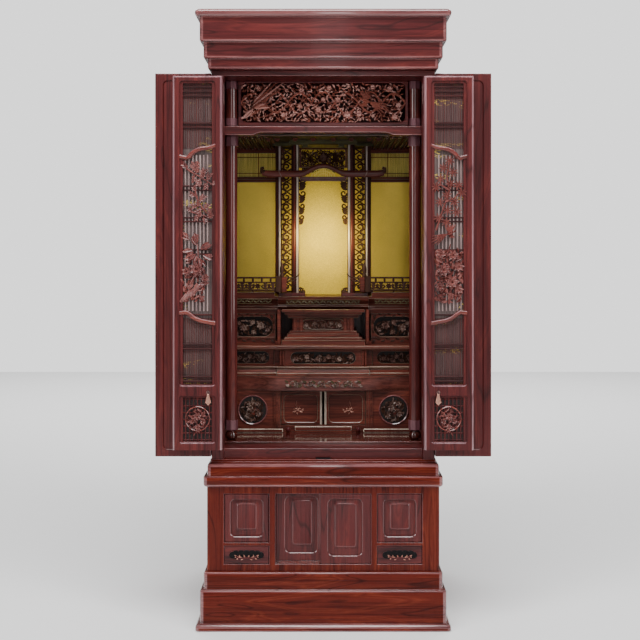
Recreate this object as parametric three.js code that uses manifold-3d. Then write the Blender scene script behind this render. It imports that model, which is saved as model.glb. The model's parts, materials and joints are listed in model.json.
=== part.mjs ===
// Household altar cabinet in dark red rosewood, shown with all four outer leaves and all four
// inner lattice leaves folded open. Millimetres, +Z up, front towards -Y, the back flat on +Y.
import * as THREE from 'three';
import { mergeVertices } from 'three/addons/utils/BufferGeometryUtils.js';
import Module from 'manifold-3d';

const wasm = await Module();
wasm.setup();

// Overall size
const HALF_WIDTH = 335;          // widest tier of crown and plinth
const HALF_DEPTH = 280;
const GAP = 0.3;                 // between separate pieces that touch
const SLIP = 1.5;                // round doors and drawers

// Heights, from the floor up
const FOOT_H = 17;
const SKIRT_H = 87;
const CAP_H = 45;
const BODY_H = 222;
const LEDGE_LOW_H = 27;
const LEDGE_HIGH_H = 33;
const PAD_H = 6.6;
const SILL_H = 26;
const OPENING_H = 994;
const ROOF_H = 13.4;
const CROWN_TIERS = [26, 42, 64, 20];

const BODY_Z = FOOT_H + SKIRT_H + CAP_H;
const LEDGE_Z = BODY_Z + BODY_H;
const CASE_Z = LEDGE_Z + LEDGE_LOW_H + LEDGE_HIGH_H + PAD_H;
const SILL_Z = CASE_Z + SILL_H;
const ROOF_Z = SILL_Z + OPENING_H;
const CROWN_Z = ROOF_Z + ROOF_H;
const FLOOR_STEP = 6.4;          // floor board above the sill
const FLOOR_Z = SILL_Z + FLOOR_STEP;

// Steps of the silhouette, each set in from the widest tier
const STEP = [0, 11, 20, 30];
const LOWER_HALF = HALF_WIDTH - 29;
const LOWER_FRONT = -HALF_DEPTH + 32;
const CASE_HALF = HALF_WIDTH - 38;
const CASE_FRONT = -HALF_DEPTH + 62;
const WALL = 20;
const POST_W = 32.4;
const POST_D = 32;
const INNER = CASE_HALF - WALL - GAP;          // half the clear width inside the case
const POST_INNER = CASE_HALF - POST_W;
const BACK_T = 12;
const BACK_Y = HALF_DEPTH - BACK_T;
const SIDE_CENTRE = (INNER + 131.3) / 2;      // middle of the side panels inside the case
const EDGE = 4;                  // rounding of the moulded edges

// Shared shape helpers
function solid(geometry) {
  const g = geometry.index ? geometry.toNonIndexed() : geometry.clone();
  for (const key of ['normal', 'uv']) g.deleteAttribute(key);
  const merged = mergeVertices(g, 1e-4);
  const position = merged.attributes.position.array;
  const index = merged.index.array;
  const kept = [];
  let volume = 0;
  for (let i = 0; i < index.length; i += 3) {
    const [a, b, c] = [index[i], index[i + 1], index[i + 2]];
    if (a === b || b === c || a === c) continue;
    kept.push(a, b, c);
    const p = (n) => new THREE.Vector3().fromArray(position, n * 3);
    volume += p(a).dot(p(b).cross(p(c)));
  }
  if (volume < 0) for (let i = 0; i < kept.length; i += 3) [kept[i], kept[i + 1]] = [kept[i + 1], kept[i]];
  return new wasm.Manifold(new wasm.Mesh({
    numProp: 3, vertProperties: Float32Array.from(position), triVerts: Uint32Array.from(kept),
  }));
}

const join = (...pieces) => pieces.flat().reduce((sum, piece) => sum.add(piece));
const cut = (body, ...tools) => tools.flat().reduce((rest, tool) => rest.subtract(tool), body);
const both = (piece) => [piece, piece.mirror([1, 0, 0])];

// A carving is cut from one board, so a leaf that touches nothing falls away
const carved = (...pieces) => join(...pieces).decompose().reduce((a, b) => (a.volume() > b.volume() ? a : b));

function box(x0, x1, y0, y1, z0, z1) {
  const g = new THREE.BoxGeometry(x1 - x0, y1 - y0, z1 - z0);
  return solid(g.translate((x0 + x1) / 2, (y0 + y1) / 2, (z0 + z1) / 2));
}

const outline = (points) => new THREE.Shape(points.map(([a, b]) => new THREE.Vector2(a, b)));

// A shape drawn in X and Z, from y0 back to y1
function front(shape, y0, y1, curveSegments = 2) {
  const s = Array.isArray(shape) ? outline(shape) : shape;
  const g = new THREE.ExtrudeGeometry(s, { depth: y1 - y0, bevelEnabled: false, curveSegments });
  return solid(g.rotateX(Math.PI / 2).translate(0, y1, 0));
}

// A shape drawn in X and Y, from z0 up to z1
function plan(shape, z0, z1, curveSegments = 4) {
  const s = Array.isArray(shape) ? outline(shape) : shape;
  const g = new THREE.ExtrudeGeometry(s, { depth: z1 - z0, bevelEnabled: false, curveSegments });
  return solid(g.translate(0, 0, z0));
}

// A profile drawn in Y and Z, run along X
function run(points, x0, x1) {
  const g = new THREE.ExtrudeGeometry(outline(points), { depth: x1 - x0, bevelEnabled: false });
  const turn = new THREE.Matrix4().makeBasis(
    new THREE.Vector3(0, 1, 0), new THREE.Vector3(0, 0, 1), new THREE.Vector3(1, 0, 0));
  return solid(g.applyMatrix4(turn).translate(x0, 0, 0));
}

// A turned piece about the vertical line at x, y
function turned(x, y, profile, segments = 12) {
  const points = profile.map(([r, z]) => new THREE.Vector2(r, z));
  return solid(new THREE.LatheGeometry(points, segments).rotateX(Math.PI / 2).translate(x, y, 0));
}

function roundedRect(x0, x1, z0, z1, r) {
  const s = new THREE.Shape();
  s.moveTo(x0 + r, z0);
  s.lineTo(x1 - r, z0).absarc(x1 - r, z0 + r, r, -Math.PI / 2, 0);
  s.lineTo(x1, z1 - r).absarc(x1 - r, z1 - r, r, 0, Math.PI / 2);
  s.lineTo(x0 + r, z1).absarc(x0 + r, z1 - r, r, Math.PI / 2, Math.PI);
  s.lineTo(x0, z0 + r).absarc(x0 + r, z0 + r, r, Math.PI, Math.PI * 1.5);
  return s;
}

function disc(x, z, r, y0, y1, segments = 16) {
  return front(Array.from({ length: segments }, (_, i) => {
    const a = (i / segments) * Math.PI * 2;
    return [x + r * Math.cos(a), z + r * Math.sin(a)];
  }), y0, y1);
}

// A leaf or petal: a pointed oval at x, z, its long axis turned by angle
function leaf(x, z, length, width, angle, y0, y1) {
  const dots = [[0, 0], [0.4, 0.5], [1, 0], [0.4, -0.5]];
  const [c, s] = [Math.cos(angle), Math.sin(angle)];
  return front(dots.map(([a, b]) => [
    x + a * length * c - b * width * s, z + a * length * s + b * width * c,
  ]), y0, y1);
}

function flower(x, z, r, petals, y0, y1, turn = 0) {
  const ring = Array.from({ length: petals * 2 }, (_, i) => {
    const a = turn + (i / petals) * Math.PI;
    const reach = i % 2 ? r * 0.66 : r;
    return [x + reach * Math.cos(a), z + reach * Math.sin(a)];
  });
  return front(ring, y0, y1);
}

// A ribbon of even width along a line of points
function ribbon(points, width, y0, y1) {
  const curve = new THREE.SplineCurve(points.map(([a, b]) => new THREE.Vector2(a, b)));
  const steps = (points.length - 1) * 2;
  const [left, right] = [[], []];
  for (let i = 0; i <= steps; i += 1) {
    const p = curve.getPoint(i / steps);
    const t = curve.getTangent(i / steps);
    left.push([p.x - t.y * width / 2, p.y + t.x * width / 2]);
    right.unshift([p.x + t.y * width / 2, p.y - t.x * width / 2]);
  }
  return front([...left, ...right], y0, y1);
}

// One tier of a moulding: rounded at front and sides, square against the wall at the back
function tier(half, frontY, z0, z1, topR = EDGE, lowR = EDGE, corner = 10) {
  const ring = (inset) => {
    const [h, f] = [half - inset, frontY + inset];
    const points = [[h, HALF_DEPTH], [-h, HALF_DEPTH]];
    for (const [sx, start] of [[-1, Math.PI], [1, Math.PI * 1.5]]) {
      for (let i = 0; i <= 3; i += 1) {
        const a = start + (i / 3) * (Math.PI / 2);
        points.push([sx * (h - corner) + corner * Math.cos(a), f + corner + corner * Math.sin(a)]);
      }
    }
    return points;
  };
  const rows = [];
  const round = (r, z, up) => {
    for (let i = 0; i <= 3; i += 1) {
      const a = ((up ? i : 3 - i) / 3) * (Math.PI / 2);
      rows.push([r * (1 - Math.cos(a)), z + (up ? 1 : -1) * r * Math.sin(a)]);
    }
  };
  round(lowR, z0 + lowR, false);
  round(topR, z1 - topR, true);
  const count = ring(0).length;
  const vertices = rows.flatMap(([inset, z]) => ring(inset).flatMap(([x, y]) => [x, y, z]));
  const index = [];
  for (let r = 0; r + 1 < rows.length; r += 1) {
    for (let i = 0; i < count; i += 1) {
      const [a, b] = [r * count + i, r * count + ((i + 1) % count)];
      index.push(a, b, b + count, a, b + count, a + count);
    }
  }
  const top = (rows.length - 1) * count;
  for (let i = 1; i + 1 < count; i += 1) index.push(0, i + 1, i, top, top + i, top + i + 1);
  const g = new THREE.BufferGeometry();
  g.setAttribute('position', new THREE.Float32BufferAttribute(vertices, 3));
  g.setIndex(index);
  return solid(g);
}

const cabinet = new THREE.Group();
cabinet.name = 'altar_cabinet';
const ROSEWOOD = { color: 0x6b1f1c, roughness: 0.32, metalness: 0 };
const GOLD = { color: 0xc8a84a, roughness: 0.5, metalness: 0.6 };
const REED = { color: 0x9a8a3c, roughness: 0.6, metalness: 0 };
const IRON = { color: 0x1c1b1d, roughness: 0.42, metalness: 0.85 };

function add(name, body, finish = ROSEWOOD) {
  const { vertProperties, triVerts, numProp } = body.getMesh();
  const g = new THREE.BufferGeometry();
  const position = new Float32Array((vertProperties.length / numProp) * 3);
  for (let i = 0; i < position.length / 3; i += 1) {
    for (let k = 0; k < 3; k += 1) position[i * 3 + k] = vertProperties[i * numProp + k];
  }
  g.setAttribute('position', new THREE.BufferAttribute(position, 3));
  g.setIndex(new THREE.BufferAttribute(Uint32Array.from(triVerts), 1));
  g.computeVertexNormals();
  const mesh = new THREE.Mesh(g, new THREE.MeshStandardMaterial(finish));
  mesh.name = name;
  cabinet.add(mesh);
}

function addPair(name, leftBody, finish = ROSEWOOD) {
  add(`${name}_left`, leftBody, finish);
  add(`${name}_right`, leftBody.mirror([1, 0, 0]), finish);
}

// Base plinth: foot, skirt and cap, open in the middle
{
  const RAIL = 46;
  const LAP = 2;
  const half = (i) => HALF_WIDTH - STEP[i] - 1;
  const face = (i) => -HALF_DEPTH + STEP[i];
  const foot = tier(half(0), face(0), 0, FOOT_H, 8, EDGE);
  const skirt = tier(half(1), face(1), FOOT_H - LAP, FOOT_H + SKIRT_H, EDGE, 0.5);
  const cap = tier(half(2), face(2), FOOT_H + SKIRT_H - LAP, BODY_Z, EDGE, 0.5);
  const hollow = box(-LOWER_HALF + RAIL, LOWER_HALF - RAIL, LOWER_FRONT + RAIL,
    HALF_DEPTH - RAIL, -1, BODY_Z + 1);
  add('base_plinth', cut(join(foot, skirt, cap), hollow));
}

// Lower body: carcass behind, face frame in front
const FRAME_T = 19.7;
const CARCASS_FRONT = LOWER_FRONT + FRAME_T + GAP;
const STILE_W = 45.5;
const MULLION_W = 17;
const CENTRE_HALF = 125.5;
const TOP_RAIL = 18.5;
const BOTTOM_RAIL = 18.5;
const DRAWER_H = 48;
const THIN_RAIL = 8.5;
const BAY = { x0: -LOWER_HALF + STILE_W, x1: -CENTRE_HALF - MULLION_W };
const DRAWER_Z = BODY_Z + BOTTOM_RAIL;
const DOOR_Z = DRAWER_Z + DRAWER_H + THIN_RAIL;
const DOOR_TOP = LEDGE_Z - TOP_RAIL;
const DIVIDER = 12;
const BOARD = 16;
{
  const z0 = BODY_Z + GAP;
  const middle = (BAY.x1 - CENTRE_HALF) / 2;
  const bays = [
    box(-LOWER_HALF + WALL, middle - DIVIDER / 2, CARCASS_FRONT - 1, BACK_Y, z0 + BOARD,
      DRAWER_Z + DRAWER_H + 0.5),
    box(-LOWER_HALF + WALL, middle - DIVIDER / 2, CARCASS_FRONT - 1, BACK_Y, DOOR_Z - 1,
      LEDGE_Z - BOARD),
  ];
  const centre = box(middle + DIVIDER / 2, -middle - DIVIDER / 2, CARCASS_FRONT - 1, BACK_Y,
    z0 + BOARD, LEDGE_Z - BOARD);
  const shell = box(-LOWER_HALF, LOWER_HALF, CARCASS_FRONT, HALF_DEPTH, z0, LEDGE_Z);
  add('lower_carcass', cut(shell, bays.flatMap(both), centre));

  const REAR_TRACK = 5.8;
  const board = plan(roundedRect(-LOWER_HALF, LOWER_HALF, LOWER_FRONT, LOWER_FRONT + 2 * FRAME_T, 6),
    z0, LEDGE_Z);
  const back = box(-HALF_WIDTH, HALF_WIDTH, LOWER_FRONT + FRAME_T, HALF_DEPTH, 0, LEDGE_Z + 9);
  const deep = [LOWER_FRONT - 1, CARCASS_FRONT + 1];
  const openings = [
    box(BAY.x0, BAY.x1, ...deep, DRAWER_Z, DRAWER_Z + DRAWER_H),
    box(BAY.x0, BAY.x1, ...deep, DOOR_Z, DOOR_TOP),
  ];
  const wide = box(-CENTRE_HALF, CENTRE_HALF, ...deep, DRAWER_Z, DOOR_TOP);
  const track = box(-CENTRE_HALF - 1, CENTRE_HALF + 1, LOWER_FRONT + 10, LOWER_FRONT + FRAME_T,
    DRAWER_Z - 1, DRAWER_Z + REAR_TRACK);
  add('face_frame', join(cut(board, back, openings.flatMap(both), wide), track));

  // Small hinged doors with a sunk field and a raised middle
  const PANEL_T = 17.5;
  const y0 = LOWER_FRONT + SLIP;
  const raised = (x0, x1, d0, d1, [s, t], [u, v], yFront, thick, r) => {
    const slab = box(x0, x1, yFront, yFront + thick, d0, d1);
    const field = front(roundedRect(x0 + s, x1 - t, d0 + u, d1 - v, r), yFront - 1, yFront + thick * 0.36);
    const block = front(roundedRect(x0 + s + 7, x1 - t - 10, d0 + u + 20, d1 - v - 16, r * 0.6),
      yFront + thick * 0.14, yFront + thick * 0.5);
    return join(cut(slab, field), block);
  };
  const door = raised(BAY.x0 + SLIP, BAY.x1 - SLIP, DOOR_Z + SLIP, DOOR_TOP - SLIP,
    [14, 20], [14, 14], y0, PANEL_T, 12);
  addPair('small_door', door);

  // Drawers, each an open box with its front and iron pull plate
  const FRONT_T = 15;
  const BOX_WALL = 8;
  const BOX_DEPTH = 330;
  const LIFT = 2.5;
  const [dx0, dx1] = [BAY.x0 + SLIP, BAY.x1 - SLIP];
  const [dz0, dz1] = [DRAWER_Z + SLIP, DRAWER_Z + DRAWER_H - SLIP];
  const face = box(dx0, dx1, y0, y0 + FRONT_T, dz0, dz1);
  const tray = box(dx0 + 4, dx1 - 4, y0 + FRONT_T - 1, y0 + BOX_DEPTH, dz0 + LIFT, dz1 - 6);
  const inside = box(dx0 + 4 + BOX_WALL, dx1 - 4 - BOX_WALL, y0 + FRONT_T, y0 + BOX_DEPTH - BOX_WALL,
    dz0 + LIFT + BOX_WALL - 2, dz1);
  const px = (dx0 + dx1) / 2;
  const pz = (dz0 + dz1) / 2;
  const PLATE_HALF = (dx1 - dx0) / 2 - 12;
  const [PLATE_H, PLATE_T] = [22, 2];
  const cloud = join(
    ...[-1, 1].flatMap((s) => [
      disc(px + s * (PLATE_HALF - 10), pz, 10, y0 - PLATE_T, y0 + 1, 12),
      disc(px + s * PLATE_HALF * 0.5, pz + 2, PLATE_H * 0.42, y0 - PLATE_T, y0 + 1, 12)]),
    front(roundedRect(px - PLATE_HALF + 8, px + PLATE_HALF - 8, pz - PLATE_H * 0.3, pz + PLATE_H * 0.48, 4),
      y0 - PLATE_T, y0 + 1));
  const BAIL_HALF = PLATE_HALF * 0.6;
  const bailLine = [[-1, -1], [-0.74, -8], [0, -6.5], [0.74, -8], [1, -1]].map(
    ([u, dz]) => [px + u * BAIL_HALF, pz + dz]);
  const bail = ribbon(bailLine, 4, y0 - PLATE_T - 3, y0 - PLATE_T + 0.5);
  addPair('drawer', join(cut(join(face, tray), inside), cloud, bail));

  // Sliding doors: the left one runs behind the right one
  const SLIDE_T = 8;
  const LAP = 3;
  const rear = LOWER_FRONT + SLIP + SLIDE_T + 1.5;
  add('sliding_door_left', raised(-CENTRE_HALF + 0.5, -9.5 + LAP, DRAWER_Z + REAR_TRACK + 0.6,
    DOOR_TOP - SLIP, [22, 8], [21, 11], rear, SLIDE_T, 14));
  add('sliding_door_right', raised(-9.5, CENTRE_HALF - 0.5, DRAWER_Z + 0.6,
    DOOR_TOP - SLIP, [22, 22], [21, 11], LOWER_FRONT + SLIP - 0.5, SLIDE_T, 14));
}

// Middle ledge: two steps and a thin pad under the case
{
  const LAP = 2;
  const low = tier(LOWER_HALF + 9, LOWER_FRONT - 10, LEDGE_Z + GAP, LEDGE_Z + LEDGE_LOW_H, 1.5, 7);
  const high = tier(LOWER_HALF, LOWER_FRONT, LEDGE_Z + LEDGE_LOW_H - LAP, CASE_Z - PAD_H, 8, 0.5);
  const pad = tier(CASE_HALF + 3, CASE_FRONT - 1, CASE_Z - PAD_H - LAP, CASE_Z, 1, 0.5, 4);
  const hollow = box(-LOWER_HALF + 40, LOWER_HALF - 40, LOWER_FRONT + 60, HALF_DEPTH - 30,
    LEDGE_Z - 1, CASE_Z - PAD_H - 10);
  add('middle_ledge', cut(join(low, high, pad), hollow));
  add('catch_plate', box(-19.5, 19.5, CASE_FRONT + 1, CASE_FRONT + 14, CASE_Z + GAP, CASE_Z + 3), IRON);
}

// Upper case: walls with their posts, back, roof board, sill and floor board
{
  const z0 = CASE_Z + GAP;
  const z1 = ROOF_Z - GAP;
  const wall = box(-CASE_HALF, -CASE_HALF + WALL, CASE_FRONT + POST_D - 1, HALF_DEPTH, z0, z1);
  const post = plan(roundedRect(-CASE_HALF, -POST_INNER, CASE_FRONT, CASE_FRONT + POST_D, 3), z0, z1, 2);
  addPair('case_wall', join(wall, post));
  add('case_back', box(-INNER, INNER, BACK_Y, HALF_DEPTH, FLOOR_Z + GAP, z1));
  add('roof_board', box(-CASE_HALF, CASE_HALF, CASE_FRONT, HALF_DEPTH, ROOF_Z, CROWN_Z - GAP));
  const SILL_FRONT = CASE_FRONT + 15;
  const SILL_BACK = CASE_FRONT + 82;
  const [a, b] = [POST_INNER - GAP, INNER];
  const behind = CASE_FRONT + POST_D + GAP;
  add('sill', plan([[-a, SILL_FRONT], [a, SILL_FRONT], [a, behind], [b, behind], [b, SILL_BACK],
    [-b, SILL_BACK], [-b, behind], [-a, behind]], z0, SILL_Z));
  add('floor_board', box(-INNER, INNER, SILL_BACK + GAP, HALF_DEPTH, z0, FLOOR_Z));
}

// Crown: four stepped tiers, hollow below
{
  const LAP = 2;
  const [a, b, c, d] = CROWN_TIERS;
  const z = [CROWN_Z, CROWN_Z + a, CROWN_Z + a + b, CROWN_Z + a + b + c, CROWN_Z + a + b + c + d];
  const rows = [
    tier(HALF_WIDTH - STEP[3], -HALF_DEPTH + STEP[3] + 4, z[0], z[1] + LAP, 0.5, 6),
    tier(HALF_WIDTH - STEP[2], -HALF_DEPTH + STEP[2] + 4, z[1], z[2] + LAP, 0.5, 6),
    tier(HALF_WIDTH - STEP[1], -HALF_DEPTH + STEP[1] + 2, z[2], z[3] + LAP, 0.5, 6),
    tier(HALF_WIDTH, -HALF_DEPTH, z[3], z[4], 9, 9),
  ];
  const hollow = box(-CASE_HALF + WALL, CASE_HALF - WALL, CASE_FRONT + WALL, BACK_Y - 6, z[0] - 1, z[3] + 4);
  add('crown', cut(join(rows), hollow));
}

// Pillars, tie beam and pierced transom behind the head of the opening
const BEAM = { y0: CASE_FRONT + 71, y1: CASE_FRONT + 106.5, z0: ROOF_Z - 149, z1: ROOF_Z - 124.3 };
const CEILING_Z = BEAM.z0 + 2.4;
const PILLAR_X = -INNER + 21.7;
const PILLAR_R = 16.5;
{
  const STEP_UP = 7;
  const STEP_START = INNER - 86.7;
  const wave = [[0, 0], [8, STEP_UP * 0.6], [20, STEP_UP]].map(([dx, u]) => [STEP_START - dx, BEAM.z0 + u]);
  const half = [[INNER, BEAM.z1], [INNER, BEAM.z0], ...wave];
  const beam = front([...half.map(([x, z]) => [-x, z]), ...half.reverse()], BEAM.y0, BEAM.y1);
  add('tie_beam', beam);

  const mid = (BEAM.y0 + BEAM.y1) / 2;
  const [low, high] = [BEAM.z1 + GAP, ROOF_Z - GAP];
  const COLLAR = 22;
  addPair('short_pillar', turned(PILLAR_X + 3.2, mid, [
    [0, low], [PILLAR_R + 1.2, low], [PILLAR_R + 1.2, low + COLLAR], [PILLAR_R - 1, low + COLLAR + 0.6],
    [PILLAR_R - 1, high - COLLAR - 0.6], [PILLAR_R + 1.2, high - COLLAR], [PILLAR_R + 1.2, high],
    [0, high]]));

  const [foot, head] = [FLOOR_Z + GAP, CEILING_Z - GAP];
  const [FOOT_BALL, RING] = [26, 28];
  addPair('main_pillar', turned(PILLAR_X, CASE_FRONT + 126, [
    [0, foot], [9, foot], [15, foot + 5], [17, foot + 12], [14.5, foot + 19], [12, foot + FOOT_BALL - 3],
    [18.2, foot + FOOT_BALL], [18.2, foot + FOOT_BALL + RING], [PILLAR_R, foot + FOOT_BALL + RING + 0.8],
    [PILLAR_R, head - RING - 0.8], [18.2, head - RING], [18.2, head], [0, head]]));

  // Transom: a frame with a corner-cut field of flowers, leaves and a bird, pierced through
  const T = { half: -PILLAR_X - 22, y0: mid - 8, y1: mid + 8, z0: low, z1: high, edge: 8, sill: 11, head: 4 };
  const [fx, fz0, fz1] = [T.half - T.edge, T.z0 + T.sill, T.z1 - T.head];
  const C = 14;
  const field = front([[-fx + C, fz0], [fx - C, fz0], [fx, fz0 + C], [fx, fz1 - C], [fx - C, fz1],
    [-fx + C, fz1], [-fx, fz1 - C], [-fx, fz0 + C]], T.y0 - 1, T.y1 + 1);
  const pieces = [cut(box(-T.half, T.half, T.y0, T.y1, T.z0, T.z1), field)];
  const zm = (fz0 + fz1) / 2;
  const reach = (fz1 - fz0) / 2;
  const [ya, yb] = [T.y0 + 2, T.y1 - 3];
  const FLOWER_PITCH = 45;
  const N = Math.round((2 * fx) / FLOWER_PITCH) - 1;
  const SWAY = 14;
  const stem = Array.from({ length: N + 2 }, (_, i) => [
    -fx - 3 + (i / (N + 1)) * (2 * fx + 6), zm + (i % 2 ? SWAY : -SWAY),
  ]);
  pieces.push(ribbon(stem, 9, ya + 2, yb));
  for (let i = 1; i <= N; i += 1) {
    const [x, z] = stem[i];
    const lean = i % 2 ? 1 : -1;
    pieces.push(flower(x, z, i % 3 ? 19 : 24, i % 3 ? 5 : 6, ya, yb, i));
    pieces.push(leaf(x, z, reach * 1.15, 21, lean * -1.2 + 0.2, ya + 2, yb));
    pieces.push(leaf(x, z, reach * 0.7, 17, lean * 1.5 + 0.5, ya + 2, yb));
  }
  add('transom_panel', carved(pieces));
}

// Ceiling with ribs running front to back on both sides
{
  const BOARD_T = 10;
  const RIB = 5;
  const y0 = BEAM.y1 + GAP;
  const ribs = [];
  for (let i = 0; i < 5; i += 1) {
    const x = -PILLAR_R + PILLAR_X + 36 + i * 18;
    ribs.push(...both(box(x, x + RIB, y0 + 22, BACK_Y - 70, CEILING_Z - RIB, CEILING_Z + 1)));
  }
  add('ceiling_board', join(box(-INNER, INNER, y0, BACK_Y - GAP, CEILING_Z, CEILING_Z + BOARD_T), ribs));
}

// Inner shrine: levels and depths shared by its pieces
const COLUMN_Y = { y0: 75, y1: 93 };
const DECK_Z = FLOOR_Z + 391;                  // top of the upper platform
const HEAD_Z = CEILING_Z - GAP;
const OUTER_COL = { x0: -141, x1: -122.4 };
const INNER_COL = { x0: -94, x1: -71.4 };
const SCREEN_Y = BACK_Y - 65;
const REED_SCREEN_H = 105;
const LINTEL_Z = CEILING_Z - REED_SCREEN_H;
const SIDE_DECK = 12;

// Gold backing panels and the reed screens over the side ones
{
  const GOLD_T = 6;
  const CENTRE_Y = SCREEN_Y + 26;
  const CENTRE_HALF_W = 96;
  add('gold_centre', box(-CENTRE_HALF_W, CENTRE_HALF_W, CENTRE_Y, CENTRE_Y + GOLD_T, DECK_Z + GAP,
    CEILING_Z - GAP), GOLD);
  addPair('gold_side', box(-INNER, -CENTRE_HALF_W - 2, SCREEN_Y, SCREEN_Y + GOLD_T,
    DECK_Z + SIDE_DECK + GAP, LINTEL_Z - GAP), GOLD);
  const [x0, x1] = [-INNER, OUTER_COL.x1 + 4];
  const top = CEILING_Z - GAP;
  const [LINTEL, RAIL, REED, PITCH] = [16, 16, 4, 7.6];
  const body = [box(x0, x1, SCREEN_Y, SCREEN_Y + 8, LINTEL_Z, LINTEL_Z + LINTEL),
    box(x0, x1, SCREEN_Y - 4, SCREEN_Y + 8, top - RAIL, top)];
  for (let x = x0 + 2; x + REED < x1; x += PITCH) {
    body.push(box(x, x + REED, SCREEN_Y + 1, SCREEN_Y + 5, LINTEL_Z + LINTEL - 1, top - RAIL + 1));
  }
  addPair('reed_screen', join(body), REED);
}

// Column screens: outer and inner column, pierced scroll strip, foot block and scroll bracket
{
  const [y0, y1] = [COLUMN_Y.y0, COLUMN_Y.y1];
  const z0 = DECK_Z + GAP;
  const FOOT = 10;
  const foot = box(OUTER_COL.x0 + 8, INNER_COL.x1 + 12, y0 - 10, y1 + 4, z0, z0 + FOOT);
  const col = ({ x0, x1 }) => plan(roundedRect(x0, x1, y0, y1, 3), z0 + FOOT - 1, HEAD_Z, 2);
  const body = [foot, col(OUTER_COL), col(INNER_COL)];
  const [sx0, sx1] = [OUTER_COL.x1, INNER_COL.x0];
  const PITCH = 36;
  const [ys0, ys1] = [y0 + 5, y0 + 11];
  let flip = 1;
  for (let z = z0 + FOOT + 8; z + PITCH < HEAD_Z; z += PITCH) {
    const xm = (sx0 + sx1) / 2;
    const w = (sx1 - sx0) / 2 + 2;
    const half = [[-1, -3], [0.4, PITCH * 0.3], [1, PITCH - 3]];
    const back = [[1, PITCH + 3], [-0.4, PITCH * 0.7], [-1, 3]];
    body.push(front([...half, ...back].map(([u, dz]) => [xm + flip * w * u, z + dz]), ys0, ys1));
    flip = -flip;
  }
  const bx = INNER_COL.x1 - 1;
  const top = LINTEL_Z + 3;
  const wave = [[0, 0], [20, -2], [22, -16], [13, -26], [19, -40], [11, -56], [15, -72], [8, -90], [9, -112],
    [4, -128], [0, -146]];
  body.push(front(wave.map(([dx, dz]) => [bx + dx, top + dz]).reverse(), y0 + 2, y0 + 10));
  addPair('column_screen', join(body));
}

// Canopy beam with its returns, the peony panel under it and the arched beam
{
  const BEAM_H = 12;
  const top = CEILING_Z - GAP;
  const centre = box(-97, 97, -6, 6, top - BEAM_H, top);
  const sides = both(join(box(-97, -91, 5, 68, top - BEAM_H + 2, top),
    box(OUTER_COL.x0 - 6, -91, 58, 68, top - BEAM_H + 3, top)));
  const brackets = both(box(-60, -44, -4, 8, top - BEAM_H - 8, top - BEAM_H + 1));
  add('canopy_beam', join(centre, sides, brackets));

  const P = { half: 71.4 - GAP * 2, z0: LINTEL_Z + 34, z1: HEAD_Z - BEAM_H, y0: 84, y1: 92 };
  const zm = (P.z0 + P.z1) / 2;
  const frame = cut(box(-P.half, P.half, P.y0, P.y1, P.z0, P.z1),
    box(-P.half + 8, P.half - 8, P.y0 - 1, P.y1 + 1, P.z0 + 5, P.z1 - 5));
  const peony = [frame, box(-P.half + 4, P.half - 4, P.y0 + 4, P.y1 - 1, zm - 2, zm + 2),
    flower(0, zm, 19, 7, P.y0 + 1, P.y1 - 1)];
  for (const s of [-1, 1]) {
    peony.push(flower(s * 38, zm, 15, 5, P.y0 + 1, P.y1 - 1, s),
      leaf(s * 12, zm, 34, 14, s > 0 ? 0.9 : Math.PI - 0.9, P.y0 + 2, P.y1 - 1),
      leaf(s * 38, zm, 32, 13, s > 0 ? -0.7 : Math.PI + 0.7, P.y0 + 2, P.y1 - 1));
  }
  add('peony_panel', carved(peony));

  // Arched beam: a straight bar with upturned tips and a shallow arch over a small lattice
  const z = LINTEL_Z + 6;
  const upper = [[180, 31], [172, 22], [150, 13], [118, 10], [70, 12], [46, 21], [32, 34], [16, 41]];
  const under = [[14, 31], [28, 24], [40, 12], [60, 3], [118, 0], [150, 2], [172, 10], [184, 27]];
  const right = [[0, 42], ...upper.slice().reverse(), ...under.slice().reverse(), [0, 32]];
  const left = [...under, ...upper].map(([x, u]) => [-x, u]);
  const arch = front([...right, ...left].map(([x, u]) => [x, z + u]), 34, 46);
  const tie = box(-66, 66, 36, 44, z - 15, z + 5);
  const lattice = [];
  for (let x = -48; x <= 48; x += 12) {
    lattice.push(box(x - 2, x + 2, 37, 42, z + 3, z + 34 - Math.abs(x) * 0.5));
  }
  const bands = [132, 122].flatMap((x) => both(box(-x, -x + 6, 32.5, 47, z - 2, z + 13)));
  add('arch_beam', join(arch, tie, lattice, bands));
}

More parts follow.
